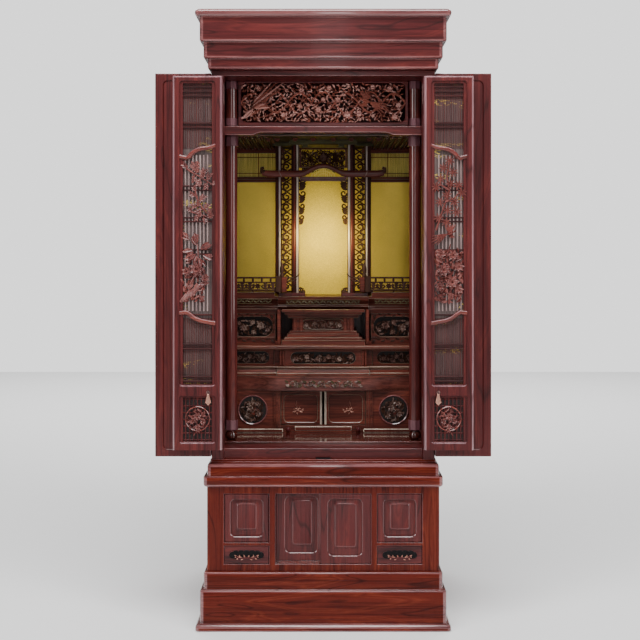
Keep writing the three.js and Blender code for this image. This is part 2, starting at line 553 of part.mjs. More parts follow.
// Railings: posts with finials, three bars and a scroll frieze, short returns with upturned tips
{
  const [y0, y1] = [54, 62];
  const z0 = DECK_Z + SIDE_DECK + GAP;
  const x0 = -INNER + 2;
  const RAIL_TOP = z0 + 45;
  const body = [box(x0, -104, y0, y1, z0, z0 + 5), box(x0, -106, y0 + 1, y1 - 1, z0 + 26, z0 + 32),
    box(x0, -106, y0, y1, RAIL_TOP - 5, RAIL_TOP)];
  const post = turned(-112, (y0 + y1) / 2, [[0, z0], [6, z0], [6, RAIL_TOP + 3], [3.4, RAIL_TOP + 8],
    [6.4, RAIL_TOP + 18], [6, RAIL_TOP + 27], [2.4, RAIL_TOP + 37], [0, RAIL_TOP + 43]], 8);
  body.push(post);
  const PITCH = 40;
  for (let x = x0 + 8; x + PITCH < -112; x += PITCH) {
    const [low, high] = [z0 + 4, z0 + 27];
    const [near, far] = [x + 5, x + PITCH - 5];
    body.push(front([[x, low], [near, low], [x + PITCH, high], [far, high]], y0 + 2, y1 - 2));
    body.push(front([[x, high], [far, low], [x + PITCH, low], [near, high]], y0 + 2, y1 - 2));
    body.push(box(x + 12, x + 18, y0 + 2, y1 - 2, z0 + 31, RAIL_TOP - 4));
  }
  const tip = [[-110, -2.5], [-90, -2], [-76, 3], [-70, 9]].map(([x, u]) => [x, RAIL_TOP + u]);
  body.push(ribbon(tip, 5, y0, y1));
  body.push(ribbon([[-110, z0 + 29], [-94, z0 + 29], [-84, z0 + 33]], 5, y0 + 1, y1 - 1));
  addPair('railing', join(body));
}

// Upper platform: centre deck stepped under its edge, side decks one step higher
const SHELF_TOP = FLOOR_Z + 251;
const PEDESTAL_H = 103;
{
  const z0 = SHELF_TOP + PEDESTAL_H + 2 * GAP;
  const profile = (y) => [[y + 14, z0], [y + 6, z0 + 7], [y + 10, z0 + 13], [y + 5, z0 + 20], [y, z0 + 26],
    [y, DECK_Z], [BACK_Y - 20, DECK_Z], [BACK_Y - 20, z0]];
  const centre = run(profile(40), -132, 132);
  const sides = both(run([[64, z0 - 14], [60, z0], [64, z0 + 8], [58, z0 + 24], [52, z0 + 30],
    [52, DECK_Z + SIDE_DECK], [SCREEN_Y + 30, DECK_Z + SIDE_DECK], [SCREEN_Y + 30, z0 - 14]], -INNER, -131));
  const hollow = box(-120, 120, 70, BACK_Y - 40, z0 - 20, DECK_Z - 14);
  const sideHollow = both(box(-INNER + 12, -140, 82, SCREEN_Y + 12, z0 - 20, DECK_Z - 6));
  const notch = box(OUTER_COL.x0 - GAP, -OUTER_COL.x0 + GAP, 30, BACK_Y, DECK_Z, DECK_Z + 2 * SIDE_DECK);
  add('upper_platform', cut(join(centre, sides), hollow, sideHollow, notch));
}

// Altar pedestal: cornice, waist with pilasters and a carved oval, spreading steps
{
  const z0 = SHELF_TOP + GAP;
  const level = (h) => z0 + h;
  const rings = [[121, 25, 0, 14], [113, 30, 13, 22], [104, 36, 21, 32], [98, 44, 31, 40],
    [103, 40, 78, 88], [112, 32, 87, 96], [120, 25, 95, PEDESTAL_H]];
  const steps = rings.map(([half, y, a, b]) => box(-half, half, y, BACK_Y - 60, level(a), level(b)));
  const waist = box(-90, 90, 52, BACK_Y - 60, level(38), level(80));
  const pilasters = [64, 82].flatMap((x) => both(box(x - 5, x + 5, 46, 60, level(38), level(80))));
  const oval = front(roundedRect(-60, 60, level(43), level(75), 14), 49, 54);
  const carving = [];
  for (let i = -1; i <= 1; i += 1) {
    carving.push(flower(i * 36, level(59), 12, 5, 44, 50, i));
    carving.push(leaf(i * 36, level(59), 24, 9, i ? 0.5 : -0.5, 45, 50));
  }
  const hollow = box(-80, 80, 70, BACK_Y - 72, z0 - 1, level(PEDESTAL_H - 12));
  add('altar_pedestal', cut(join(steps, waist, pilasters, oval, carving), hollow));
}

// Side tiers: a thin post, an arched openwork panel with peonies, a band below
{
  const z0 = SHELF_TOP + GAP;
  const z1 = SHELF_TOP + PEDESTAL_H - 14;
  const [y0, y1] = [70, 80];
  const [x0, x1] = [-INNER, -140];
  const post = box(-134, -124, 46, 56, z0, z1 + 13);
  const link = box(-141, -133, 52, y1, z0, z0 + 10);
  const sideWall = box(x1 - 4, x1 + 1, y0, BACK_Y - 70, z0, z1);
  const board = box(x0, x1, y0, y1, z0, z1);
  const [a, b, c, d] = [x0 + 12, x1 - 10, z0 + 21, z1 - 8];
  const [xm, zm] = [(a + b) / 2, (c + d) / 2];
  const opening = front([[a + 8, c], [b - 8, c], [b, c + 10], [b, d - 26], [b - 16, d - 8], [xm + 14, d - 8],
    [xm, d], [xm - 14, d - 8], [a + 16, d - 8], [a, d - 26], [a, c + 10]], y0 - 1, y1 + 1);
  const body = [cut(board, opening), post, link, sideWall];
  const branch = [[a - 2, c + 4], [xm - 24, zm + 4], [xm + 24, zm - 4], [b + 2, zm + 8]];
  body.push(ribbon(branch, 7, y0 + 2, y1 - 2));
  body.push(flower(xm - 22, zm - 2, 16, 5, y0, y1 - 2));
  body.push(flower(xm + 20, zm, 17, 5, y0, y1 - 2, 1));
  for (const [dx, t] of [[-22, 2.6], [-22, 1.3], [20, 1.9], [20, -0.6]]) {
    body.push(leaf(xm + dx, zm, 32, 13, t, y0 + 2, y1 - 2));
  }
  addPair('side_tier', carved(body));
}

// Full-width shelf and the row of three carved panels under it
const ROW_Z = FLOOR_Z + 190;
{
  const SHELF_T = 14;
  const nose = 4;
  const y = 20;
  const [under, rear] = [SHELF_TOP - SHELF_T, BACK_Y - GAP];
  add('long_shelf', run([[y + nose, under], [y, under + nose], [y, SHELF_TOP - nose],
    [y + nose, SHELF_TOP], [rear, SHELF_TOP], [rear, under]], -INNER, INNER));
  const [z0, z1] = [ROW_Z + GAP, SHELF_TOP - SHELF_T - GAP];
  const centre = box(-112, 112, 36, 48, z0, z1);
  const pilasters = [-1, 1].map((s) => box(s * 119.5 - 7.5, s * 119.5 + 7.5, 32, 48, z0, z1));
  const SIDE_START = 147;
  const sides = both(box(-INNER, -SIDE_START, 52, 64, z0, z1));
  const spine = box(-INNER, INNER, 47, 58, z0, z0 + 6);
  const roof = box(-INNER, INNER, 47, 58, z1 - 6, z1);
  const body = [centre, pilasters, sides, spine, roof];
  const zm = (z0 + z1) / 2;
  const strip = (xm, half, y0, n) => {
    body.push(front(roundedRect(xm - half, xm + half, zm - 17, zm + 17, 12), y0 - 3, y0 + 1));
    for (let i = 0; i < n; i += 1) {
      const x = xm - half + ((i + 0.5) / n) * 2 * half;
      body.push(flower(x, zm, 9.5, 5, y0 - 8, y0 - 2, i));
      body.push(leaf(x + 4, zm - 2, 18, 8, i % 2 ? 0.7 : -0.7, y0 - 6, y0 - 2));
    }
  };
  strip(0, 96, 36, 5);
  strip(-SIDE_CENTRE, 44, 52, 2);
  strip(SIDE_CENTRE, 44, 52, 2);
  add('panel_row', carved(body.flat()));
}

// Moulded step between the row and the counter
const COUNTER_Z = FLOOR_Z + 163;
{
  const z0 = COUNTER_Z + GAP;
  const z1 = ROW_Z;
  const rise = z1 - z0;
  const profile = (y) => [[y, z0], [y, z0 + rise * 0.3], [y + 5, z0 + rise * 0.42], [y + 9, z0 + rise * 0.7],
    [y + 3, z0 + rise * 0.86], [y + 3, z1], [BACK_Y - GAP, z1], [BACK_Y - GAP, z0]];
  const hollow = box(-INNER + 14, INNER - 14, 70, BACK_Y - 16, z0 - 1, z1 - 6);
  add('moulded_step', cut(join(run(profile(10), -134, 134), run(profile(22), -INNER, INNER)), hollow));
}

// Counter with a bowed front and a carved strip in the middle
{
  const [z0, z1] = [FLOOR_Z + 120.5, COUNTER_Z];
  const bow = (x) => 34 - 36 * Math.max(0, 1 - (x / 235) ** 2);
  const edge = Array.from({ length: 11 }, (_, i) => {
    const x = -INNER + (i / 10) * 2 * INNER;
    return [x, bow(x)];
  });
  const slab = plan([...edge, [INNER, BACK_Y - GAP], [-INNER, BACK_Y - GAP]], z0 + 4, z1 - 4);
  const lip = (drop, a, b) => plan([...edge.map(([x, y]) => [x, y + drop]), [INNER, 90], [-INNER, 90]], a, b);
  const body = [slab, lip(3, z0, z0 + 5), lip(-2, z1 - 5, z1)];
  const zm = (z0 + z1) / 2;
  for (let i = 0; i < 5; i += 1) {
    const x = -84 + i * 42;
    body.push(flower(x, zm, 10, 5, bow(x) - 4, bow(x) + 4, i));
    body.push(leaf(x, zm, 24, 9, i % 2 ? 0.4 : -0.4, bow(x) - 3, bow(x) + 5));
  }
  add('bowed_counter', join(body));
}

// Lower inner cupboard: medallion panels at the sides, a bay closed by two hinged doors, base rails
{
  const z0 = FLOOR_Z + GAP;
  const z1 = FLOOR_Z + 120;
  const DOOR_HALF = 123;
  const y0 = 30;
  const shell = box(-INNER, INNER, y0, BACK_Y - GAP, z0, z1);
  const bay = box(-DOOR_HALF, DOOR_HALF, y0 - 1, BACK_Y - 14, z0 + 19, z1 - 2.6);
  const sideBay = both(box(-INNER + 12, -DOOR_HALF - 26, y0 + 14, BACK_Y - 14, z0 + 12, z1 - 8));
  const sideDoorOpening = both(box(-INNER + 12, -DOOR_HALF - 26, BACK_Y - 15, BACK_Y + 1, z0 + 12, z1 - 8));
  const ringX = -SIDE_CENTRE;
  const zm = z0 + 63.5;
  const medallion = both(disc(ringX, zm, 40, y0 - 1, y0 + 8));
  const body = [cut(shell, bay, sideBay, sideDoorOpening, medallion)];
  for (const s of [-1, 1]) {
    const x = s * -ringX;
    body.push(flower(x, zm, 18, 5, y0 - 2, y0 + 8));
    body.push(cut(disc(x, zm, 43, y0 - 2.5, y0 + 1), disc(x, zm, 40, y0 - 4, y0 + 4)));
    for (let k = 0; k < 4; k += 1) body.push(leaf(x, zm, 43, 19, k * 1.57 + 0.9, y0, y0 + 8));
    body.push(box(s * 133.5 - 9, s * 133.5 + 9, y0 - 5, y0 + 2, z0, z1));
    body.push(box(s * 133.5 - 3, s * 133.5 + 3, y0 - 8, y0 - 2, z0 + 14, z1));
  }
  const sideRail = both(join(box(-INNER, -118, y0 - 8, y0 + 1, z0, z0 + 9),
    turned(-101, y0 - 4, [[0, z0], [6, z0], [7, z0 + 4], [6, z0 + 9], [3, z0 + 12], [0, z0 + 12.5]], 10),
    box(-119, -98, y0 - 6, y0 + 1, z0, z0 + 5)));
  const centreRail = box(-82, 82, y0 - 18, y0 + 1, z0, z0 + 17);
  body.push(...sideRail, centreRail);
  add('inner_cupboard', join(body));

  const [dx0, dx1] = [-DOOR_HALF + 0.8, -3];
  const [dz0, dz1] = [z0 + 20, z1 - 3.6];
  const T = 12;
  const slab = box(dx0, dx1, y0 + 1, y0 + 1 + T, dz0, dz1);
  const sunk = front(roundedRect(dx0 + 9, dx1 - 13, dz0 + 7, dz1 - 10, 13), y0, y0 + 4.5);
  const lip = box(dx1 - 8, dx1, y0 - 2, y0 + 2, dz0, dz1);
  const [fx, fz] = [(dx0 + dx1) / 2 - 12, (dz0 + dz1) / 2 + 2];
  const plant = [flower(fx, fz, 11, 5, y0 + 2, y0 + 6)];
  for (const t of [1.1, 2.6, 4.4]) plant.push(leaf(fx, fz, 26, 9, t, y0 + 3, y0 + 6));
  addPair('cupboard_door', join(cut(slab, sunk), lip, plant));
}

// Outer leaves: one hinged to the post, one folded behind it, outer faces together
const LEAF = { t: 26, z0: CASE_Z + 7.3, z1: ROOF_Z + 6.8, foldX: CASE_HALF / 2 - 2, play: 0.5 };
const SWING = { x: -CASE_HALF, y: CASE_FRONT - 4.5, off: 2 };
function turnRound(body, x, y) {
  return body.translate([-x, -y, 0]).rotate([0, 0, 180]).translate([x, y, 0]);
}
// A hinge: its barrel on the turning line and the flap on the leaf
function hinge(x, y, r, flap0, flap1, z, h = 56) {
  const barrel = turned(x, y, [[0, z], [r, z], [r, z + h], [0, z + h]], 8);
  return join(barrel, box(x, x + 18, flap0, flap1, z, z + h));
}
{
  const FIELD = { edge: 22, rise: 20, depth: 3, r: 13 };
  const plate = (x0, x1, inner, outer) => {
    const body = plan(roundedRect(x0, x1, outer, inner, 5), LEAF.z0, LEAF.z1, 2);
    const sunk = (a, b) => front(roundedRect(x0 + FIELD.edge, x1 - FIELD.edge, LEAF.z0 + FIELD.rise,
      LEAF.z1 - FIELD.rise, FIELD.r), a, b);
    return cut(body, sunk(inner - FIELD.depth, inner + 1), sunk(outer - 1, outer + FIELD.depth));
  };
  const inner = SWING.y - SWING.off;
  const outer = inner - LEAF.t;
  const shutA = plate(SWING.x + LEAF.play, -LEAF.foldX - LEAF.play, inner, outer);
  const shutB = plate(-LEAF.foldX + LEAF.play, -1.5, inner, outer);
  const barrels = [0.045, 0.49, 0.89].map((share) => {
    const z = LEAF.z0 + (LEAF.z1 - LEAF.z0) * share;
    return hinge(SWING.x, SWING.y, 3.2, inner - 0.6, inner + 1, z);
  });
  addPair('outer_leaf', turnRound(join(shutA, barrels), SWING.x, SWING.y));
  const folded = turnRound(shutB, -LEAF.foldX, outer - LEAF.play);
  addPair('outer_fold', turnRound(folded, SWING.x, SWING.y));
}

// Inner leaves: frame, cross bars, S-shaped dividers, gauze with fine bars, carvings, grid and ring
// Cross bars of the tall window, as shares of its height from the leaf's top edge
const CROSS_BARS = [0.0351, 0.0501, 0.0652, 0.1541, 0.1679, 0.881, 0.8947, 0.9862, 1.0013];
const SHOJI = {
  t: 22,
  z0: SILL_Z + 6.4,
  z1: ROOF_Z - 8.3,
  axisX: -POST_INNER + GAP,
  foldX: POST_INNER / 2 + 2.2,
  play: 0.5,
  back: 2.5,
};
{
  const lattice = (x0, x1, y0, withCarving) => {
    const y1 = y0 + SHOJI.t;
    const [z0, z1] = [SHOJI.z0, SHOJI.z1];
    const [STILE, HEAD, FOOT] = [17, 14, 18];
    const LOCK = z0 + 150;
    const [a, b] = [x0 + STILE, x1 - STILE];
    const board = plan(roundedRect(x0, x1, y0, y1, 4), z0, z1, 2);
    const [ym, yb] = [y0 + 11, y0 + 14];
    const window = (c, d, r) => [
      front(roundedRect(a, b, c, d, r), y0 - 1, ym, 2), box(a, b, yb, y1 + 1, c, d),
    ];
    const body = [cut(board, window(LOCK + 17, z1 - HEAD, 8), window(z0 + FOOT, LOCK - 8, 6))];
    const tall = z1 - HEAD - LOCK - 17;
    const drop = (share) => z1 - share * tall;
    for (const share of CROSS_BARS) {
      body.push(box(a - 1, b + 1, y0 + 6, ym + 1, drop(share) - 2, drop(share) + 2));
    }
    const w = b - a;
    const s = (zc, flip, h) => {
      const line = [[-0.02, -17], [0.12, -17], [0.3, -3], [0.5, 4], [0.72, 7], [0.9, 17], [1.02, 18]];
      const edge = (up) => line.map(([u, dz]) => [a + u * w, zc + flip * dz + up * h / 2]);
      body.push(front([...edge(-1), ...edge(1).reverse()], y0 + 1, ym + 1));
    };
    s(drop(0.2456), 1, 13);
    s(drop(0.7882), -1, 13);
    const xm = (a + b) / 2;
    const [cy0, cy1] = [y0 + 2, ym + 0.5];
    const zc = drop(0.7018);
    if (withCarving) {
      const stem = [[a - 1, drop(0.5138)], [xm + 6, drop(0.401)], [xm - 12, drop(0.2945)]];
      body.push(ribbon(stem, 7, cy0 + 2, cy1));
      for (const [share, dx, turnA, turnB] of [[0.3133, -8, 2.5, 0.6], [0.4135, 4, 0.7, -0.7]]) {
        const z = drop(share);
        body.push(leaf(xm + dx, z, 34, 15, turnA, cy0 + 2, cy1));
        body.push(leaf(xm + dx, z, 32, 14, turnB, cy0 + 2, cy1));
        body.push(flower(xm + dx - 2, z, 14, 5, cy0, cy1, turnA));
      }
      body.push(flower(xm - 4, zc + 2, 28, 7, cy0, cy1), flower(xm + 12, zc + 46, 22, 6, cy0, cy1, 1));
      for (const t of [0.4, 2.3, 4.1]) body.push(leaf(xm, zc + 6, 50, 20, t, cy0 + 2, cy1));
    }
    const mz = (z0 + FOOT + LOCK - 8) / 2;
    for (const side of [-1, 1]) {
      const [gx, gz] = [xm + side * 38, mz + 2 + side * 46];
      body.push(box(gx - 1.4, gx + 1.4, y0 + 6, ym + 1, z0 + FOOT - 1, LOCK - 7));
      body.push(box(a - 1, b + 1, y0 + 6, ym + 1, gz - 1.4, gz + 1.4));
    }
    body.push(cut(disc(xm, mz + 2, 33, y0 + 3, ym + 1, 12), disc(xm, mz + 2, 28, y0 + 1, ym + 2, 12)),
      flower(xm, mz + 2, 18, 5, y0 + 3, ym + 1));
    if (withCarving) {
      const px = x1 - 30;
      body.push(flower(px, LOCK + 1, 5.5, 6, y0 - 1.5, y0 + 1),
        front([[px - 2.4, LOCK - 1], [px + 2.4, LOCK - 1], [px + 8.5, LOCK - 22], [px + 3, LOCK - 29],
          [px - 3, LOCK - 29], [px - 8.5, LOCK - 22]], y0 - 3.6, y0 - 1));
    }
    return carved(body);
  };
  const MEETING_GAP = 5;
  const yShut = CASE_FRONT;
  const axisY = CASE_FRONT - SHOJI.back;
  const near = lattice(SHOJI.axisX + SHOJI.play, -SHOJI.foldX - SHOJI.play, yShut, false);
  const farEdge = -MEETING_GAP;
  const far = lattice(-SHOJI.foldX + SHOJI.play, farEdge, yShut, true);
  const barrels = [0.077, 0.478, 0.93].map((share) => {
    const z = SHOJI.z0 + (SHOJI.z1 - SHOJI.z0) * share;
    return hinge(SHOJI.axisX, axisY, 1.9, axisY + 0.6, yShut + 1, z, 55);
  });
  addPair('inner_leaf', turnRound(join(near, barrels), SHOJI.axisX, axisY));
  const folded = turnRound(far, -SHOJI.foldX, yShut + SHOJI.t + SHOJI.play);
  addPair('inner_fold', turnRound(folded, SHOJI.axisX, axisY));
}

export default cabinet;
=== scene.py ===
import json
import random
from math import cos, hypot, pi, radians, sin

import bmesh
import bpy
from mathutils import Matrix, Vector

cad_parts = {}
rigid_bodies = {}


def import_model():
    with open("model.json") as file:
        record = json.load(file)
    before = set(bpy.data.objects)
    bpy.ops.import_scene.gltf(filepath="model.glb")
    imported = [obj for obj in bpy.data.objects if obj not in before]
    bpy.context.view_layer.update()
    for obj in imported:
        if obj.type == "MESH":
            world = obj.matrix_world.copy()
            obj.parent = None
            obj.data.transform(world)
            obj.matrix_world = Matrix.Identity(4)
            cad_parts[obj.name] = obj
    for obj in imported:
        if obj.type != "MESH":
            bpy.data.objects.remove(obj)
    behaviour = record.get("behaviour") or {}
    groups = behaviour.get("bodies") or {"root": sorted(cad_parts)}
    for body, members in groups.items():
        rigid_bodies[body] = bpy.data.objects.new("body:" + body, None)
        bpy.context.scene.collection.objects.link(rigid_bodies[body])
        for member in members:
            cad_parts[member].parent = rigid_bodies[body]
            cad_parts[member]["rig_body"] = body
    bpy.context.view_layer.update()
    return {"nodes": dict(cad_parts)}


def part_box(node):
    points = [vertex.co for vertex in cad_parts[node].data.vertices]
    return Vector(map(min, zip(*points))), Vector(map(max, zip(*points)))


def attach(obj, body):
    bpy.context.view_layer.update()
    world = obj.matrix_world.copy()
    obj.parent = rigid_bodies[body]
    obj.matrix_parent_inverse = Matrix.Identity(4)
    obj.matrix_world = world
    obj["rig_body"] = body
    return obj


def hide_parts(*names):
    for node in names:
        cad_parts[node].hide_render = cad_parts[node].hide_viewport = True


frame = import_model()

# The studio: a camera level with the altar floor, a pale floor and soft lights
# from above, from both sides and from in front, with one small lamp in the shrine.
CAMERA_AT = (0.0, -2.98, 0.9677)
LENS = 58.42
SHIFT = (-0.005, -0.0938)

camera_data = bpy.data.cameras.new("camera")
camera_data.lens = LENS
camera_data.shift_x, camera_data.shift_y = SHIFT
camera = bpy.data.objects.new("camera", camera_data)
camera.location = CAMERA_AT
camera.rotation_euler = (radians(90), 0, 0)
bpy.context.scene.collection.objects.link(camera)
bpy.context.scene.camera = camera


def softbox(name, place, target, size, power, tint=(1, 1, 1)):
    data = bpy.data.lights.new(name, "AREA")
    data.shape = "RECTANGLE"
    data.size, data.size_y = size
    data.energy = power
    data.color = tint
    lamp = bpy.data.objects.new(name, data)
    lamp.location = place
    lamp.rotation_euler = (Vector(target) - Vector(place)).to_track_quat("-Z", "Y").to_euler()
    bpy.context.scene.collection.objects.link(lamp)


softbox("top_light", (0, -1.5, 3.3), (0, 0, 0.9), (2.2, 1.2), 120)
softbox("left_light", (-2.4, -2.0, 1.7), (0, -0.1, 0.9), (0.8, 2.2), 46)
softbox("right_light", (2.4, -2.0, 1.7), (0, -0.1, 0.9), (0.8, 2.2), 46)
softbox("front_light", (0.1, -3.5, 1.6), (0, 0, 0.9), (0.45, 2.2), 15)
softbox("backdrop_light", (0, 4.2, 3.6), (0, 4.6, 0), (9.0, 4.0), 420)
softbox("shrine_lamp", (0, 0.02, 1.04), (0, 0.235, 0.98), (0.16, 0.05), 0.68, (1.0, 0.86, 0.3))

sky = bpy.data.worlds.new("studio_white")
sky.use_nodes = True
ray = sky.node_tree.nodes.new("ShaderNodeLightPath")
backdrop = sky.node_tree.nodes.new("ShaderNodeMapRange")
backdrop.inputs["To Min"].default_value = 0.18
backdrop.inputs["To Max"].default_value = 1.6
sky.node_tree.links.new(ray.outputs["Is Camera Ray"], backdrop.inputs["Value"])
sky.node_tree.nodes["Background"].inputs["Color"].default_value = (1, 1, 1, 1)
sky.node_tree.links.new(backdrop.outputs["Result"], sky.node_tree.nodes["Background"].inputs["Strength"])
bpy.context.scene.world = sky

FLOOR_REACH = 6.0
floor_mesh = bpy.data.meshes.new("studio_floor")
floor_mesh.from_pydata([(-FLOOR_REACH, -FLOOR_REACH, 0), (FLOOR_REACH, -FLOOR_REACH, 0),
                        (FLOOR_REACH, FLOOR_REACH, 0), (-FLOOR_REACH, FLOOR_REACH, 0)], [], [(0, 1, 2, 3)])
studio_floor = bpy.data.objects.new("studio_floor", floor_mesh)
bpy.context.scene.collection.objects.link(studio_floor)
paper = bpy.data.materials.new("pale_paper")
paper.use_nodes = True
paper.node_tree.nodes["Principled BSDF"].inputs["Base Color"].default_value = (0.9, 0.9, 0.9, 1)
paper.node_tree.nodes["Principled BSDF"].inputs["Roughness"].default_value = 0.8
floor_mesh.materials.append(paper)


# Base plinth: foot, skirt and cap of solid rosewood, mitred round three sides and
# polished with clear lacquer. The figure of the wood runs along the boards.
MM = 0.001
SMOOTH = radians(23)
EASING = 1.1


def noise(tree, coords, along, across, grain, detail, twist=0.0, seed=0.0):
    """Noise drawn out along the grain of a board."""
    place = tree.nodes.new("ShaderNodeMapping")
    place.inputs["Scale"].default_value = [along if axis == grain else across for axis in "xyz"]
    place.inputs["Location"].default_value = (seed, seed * 0.7, seed * 1.3)
    tree.links.new(coords, place.inputs["Vector"])
    field = tree.nodes.new("ShaderNodeTexNoise")
    field.inputs["Scale"].default_value = 1.0
    field.inputs["Detail"].default_value = detail
    field.inputs["Distortion"].default_value = twist
    tree.links.new(place.outputs["Vector"], field.inputs["Vector"])
    return field.outputs["Fac"]


def ramp(tree, value, stops):
    node = tree.nodes.new("ShaderNodeValToRGB")
    while len(node.color_ramp.elements) < len(stops):
        node.color_ramp.elements.new(0.5)
    for element, (at, colour) in zip(node.color_ramp.elements, stops):
        element.position = at
        element.color = (*colour, 1)
    tree.links.new(value, node.inputs["Fac"])
    return node.outputs["Color"]


def shade(tree, below, above, share, blend="MIX"):
    node = tree.nodes.new("ShaderNodeMix")
    node.data_type = "RGBA"
    node.blend_type = blend
    for socket, value in ((node.inputs["Factor"], share), (node.inputs[6], below), (node.inputs[7], above)):
        if isinstance(value, bpy.types.NodeSocket):
            tree.links.new(value, socket)
        else:
            socket.default_value = value
    return node.outputs[2]


def reckon(tree, operation, value, other):
    node = tree.nodes.new("ShaderNodeMath")
    node.operation = operation
    tree.links.new(value, node.inputs[0])
    if isinstance(other, bpy.types.NodeSocket):
        tree.links.new(other, node.inputs[1])
    else:
        node.inputs[1].default_value = other
    return node.outputs[0]


def material(name):
    """A new material with its tree, its shader and the object's own coordinates."""
    mat = bpy.data.materials.new(name)
    mat.use_nodes = True
    tree = mat.node_tree
    return mat, tree, tree.nodes["Principled BSDF"], tree.nodes.new("ShaderNodeTexCoord").outputs["Object"]


def surface(tree, shader, colour, texture, low, high, height):
    """Colour on the shader, and the texture as its roughness, from low to high, and as its relief."""
    rough = tree.nodes.new("ShaderNodeMapRange")
    rough.inputs["To Min"].default_value = low
    rough.inputs["To Max"].default_value = high
    bump = tree.nodes.new("ShaderNodeBump")
    bump.inputs["Distance"].default_value = height
    bump.inputs["Strength"].default_value = 0.6
    for start, end in ((colour, shader.inputs["Base Color"]), (texture[0], rough.inputs["Value"]),
                       (rough.outputs["Result"], shader.inputs["Roughness"]),
                       (texture[-1], bump.inputs["Height"]),
                       (bump.outputs["Normal"], shader.inputs["Normal"])):
        tree.links.new(start, end)


def rosewood(name, grain, deep, mid, warm, gloss, coat=0.06, shine=0.25, figure=9.0):
    """Lacquered rosewood: contour lines of its figure, dark streaks and fine pores."""
    mat, tree, shader, coords = material(name)
    cloud = noise(tree, coords, 1.7, 15.0, grain, 2.0, 0.8)
    fold = reckon(tree, "PINGPONG", reckon(tree, "MULTIPLY", cloud, figure), 1.0)
    colour = ramp(tree, fold, [(0.0, deep), (0.14, mid), (0.62, mid), (0.86, warm), (1.0, mid)])
    streak = noise(tree, coords, 4.0, 230.0, grain, 5.0, 0.2, 3.0)
    streaks = ramp(tree, streak, [(0.36, (0.5, 0.42, 0.46)), (0.5, (0.92, 0.9, 0.9)), (0.62, (1, 1, 1))])
    drift = noise(tree, coords, 2.5, 34.0, grain, 3.0, 0.3, 11.0)
    drifts = ramp(tree, drift, [(0.34, (0.72, 0.7, 0.74)), (0.62, (1, 1, 1))])
    pore = noise(tree, coords, 60.0, 1100.0, grain, 2.0, 0.0, 7.0)
    pores = ramp(tree, pore, [(0.34, (0.5, 0.42, 0.45)), (0.5, (1, 1, 1))])
    for layer, share in ((streaks, 0.85), (drifts, 0.9), (pores, 0.4)):
        colour = shade(tree, colour, layer, share, "MULTIPLY")
    surface(tree, shader, colour, (streak, pore), gloss + 0.06, gloss - 0.03, 0.0001)
    shader.inputs["Specular IOR Level"].default_value = shine
    shader.inputs["Coat Weight"].default_value = coat
    shader.inputs["Coat Roughness"].default_value = 0.09
    return mat


TONES = ((0.038, 0.006, 0.006), (0.086, 0.0125, 0.0125), (0.122, 0.0185, 0.016))
WOOD_X = rosewood("rosewood_running_across", "x", *TONES, 0.36)
WOOD_Z = rosewood("rosewood_standing", "z", *TONES, 0.36)
# The arris finishes are paler than the wood: that paler colour is a painted highlight along the edges, over
# a real gloss coat.
EDGE_X = rosewood("arris_painted_highlight_across", "x", (0.15, 0.05, 0.048), (0.22, 0.08, 0.077),
                  (0.27, 0.105, 0.098), 0.2, 1.0)
EDGE_Z = rosewood("arris_painted_highlight_standing", "z", (0.09, 0.022, 0.022), (0.13, 0.034, 0.034),
                  (0.16, 0.042, 0.04), 0.2, 1.0)
ACROSS = [WOOD_X, EDGE_X]
STANDING = [WOOD_Z, EDGE_Z]
LOW_TONES = ((0.046, 0.0065, 0.004), (0.105, 0.0135, 0.008), (0.155, 0.024, 0.0115))
LOW_ACROSS = [rosewood("base_rosewood_across", "x", *LOW_TONES, 0.24, 0.03, 0.1), EDGE_X]
LOW_STANDING = [rosewood("base_rosewood_standing", "z", *LOW_TONES, 0.24, 0.03, 0.1), EDGE_Z]


def span(node):
    """A node's box in millimetres: x0, x1, y0, y1, z0, z1."""
    low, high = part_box(node)
    return [value / MM for pair in zip(low, high) for value in pair]


def fit(piece, slot, *nodes):
    """The piece takes the place of its nodes and rides on their body."""
    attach(piece, frame["nodes"][nodes[0]]["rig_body"])
    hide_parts(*nodes)
    return piece


def mount(piece, body):
    """A further piece on a body, beside the one that stands for the node."""
    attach(piece, body)
    return piece


def as_object(name, work, finishes, smooth=SMOOTH):
    """Bench work made into one closed mesh, its doubles merged and its faces turned outwards."""
    bmesh.ops.remove_doubles(work, verts=work.verts, dist=2e-6)
    bmesh.ops.recalc_face_normals(work, faces=work.faces)
    mesh = bpy.data.meshes.new(name)
    work.to_mesh(mesh)
    work.free()
    for finish in finishes:
        mesh.materials.append(finish)
    mesh.shade_smooth()
    mesh.set_sharp_from_angle(angle=smooth)
    piece = bpy.data.objects.new(name, mesh)
    bpy.context.scene.collection.objects.link(piece)
    return piece


def dress(node, finishes, slot="rosewood", easing=EASING, lips=False):
    """A board of the frame, its arrises eased; the eased arrises, and with lips its roundings too, take the
    second finish, a painted highlight.
    """
    work = bmesh.new()
    work.from_mesh(frame["nodes"][node].data)
    bmesh.ops.remove_doubles(work, verts=work.verts, dist=2e-5)
    bmesh.ops.dissolve_limit(work, angle_limit=radians(1), verts=work.verts, edges=work.edges)
    # Roundings take the second, paler finish when lips is set: a painted highlight.
    for face in work.faces:
        face.material_index = int(lips and max(abs(part) for part in face.normal) < 0.97)
    piece = as_object(f"{node}_wood", work, finishes)
    ease = piece.modifiers.new("eased_arris", "BEVEL")
    ease.width = easing * MM
    ease.segments = 2
    ease.limit_method = "ANGLE"
    ease.angle_limit = radians(42)
    # The eased arrises take the second, paler finish too: a painted highlight.
    ease.material = 1
    ease.harden_normals = True
    return fit(piece, slot, node)


dress("base_plinth", LOW_ACROSS, lips=True)

# Lower body: a carcass of boards and, before it, a face frame of stiles, rails and
# mullions, all rosewood, tenoned and glued.
dress("lower_carcass", LOW_STANDING)
dress("face_frame", LOW_STANDING)


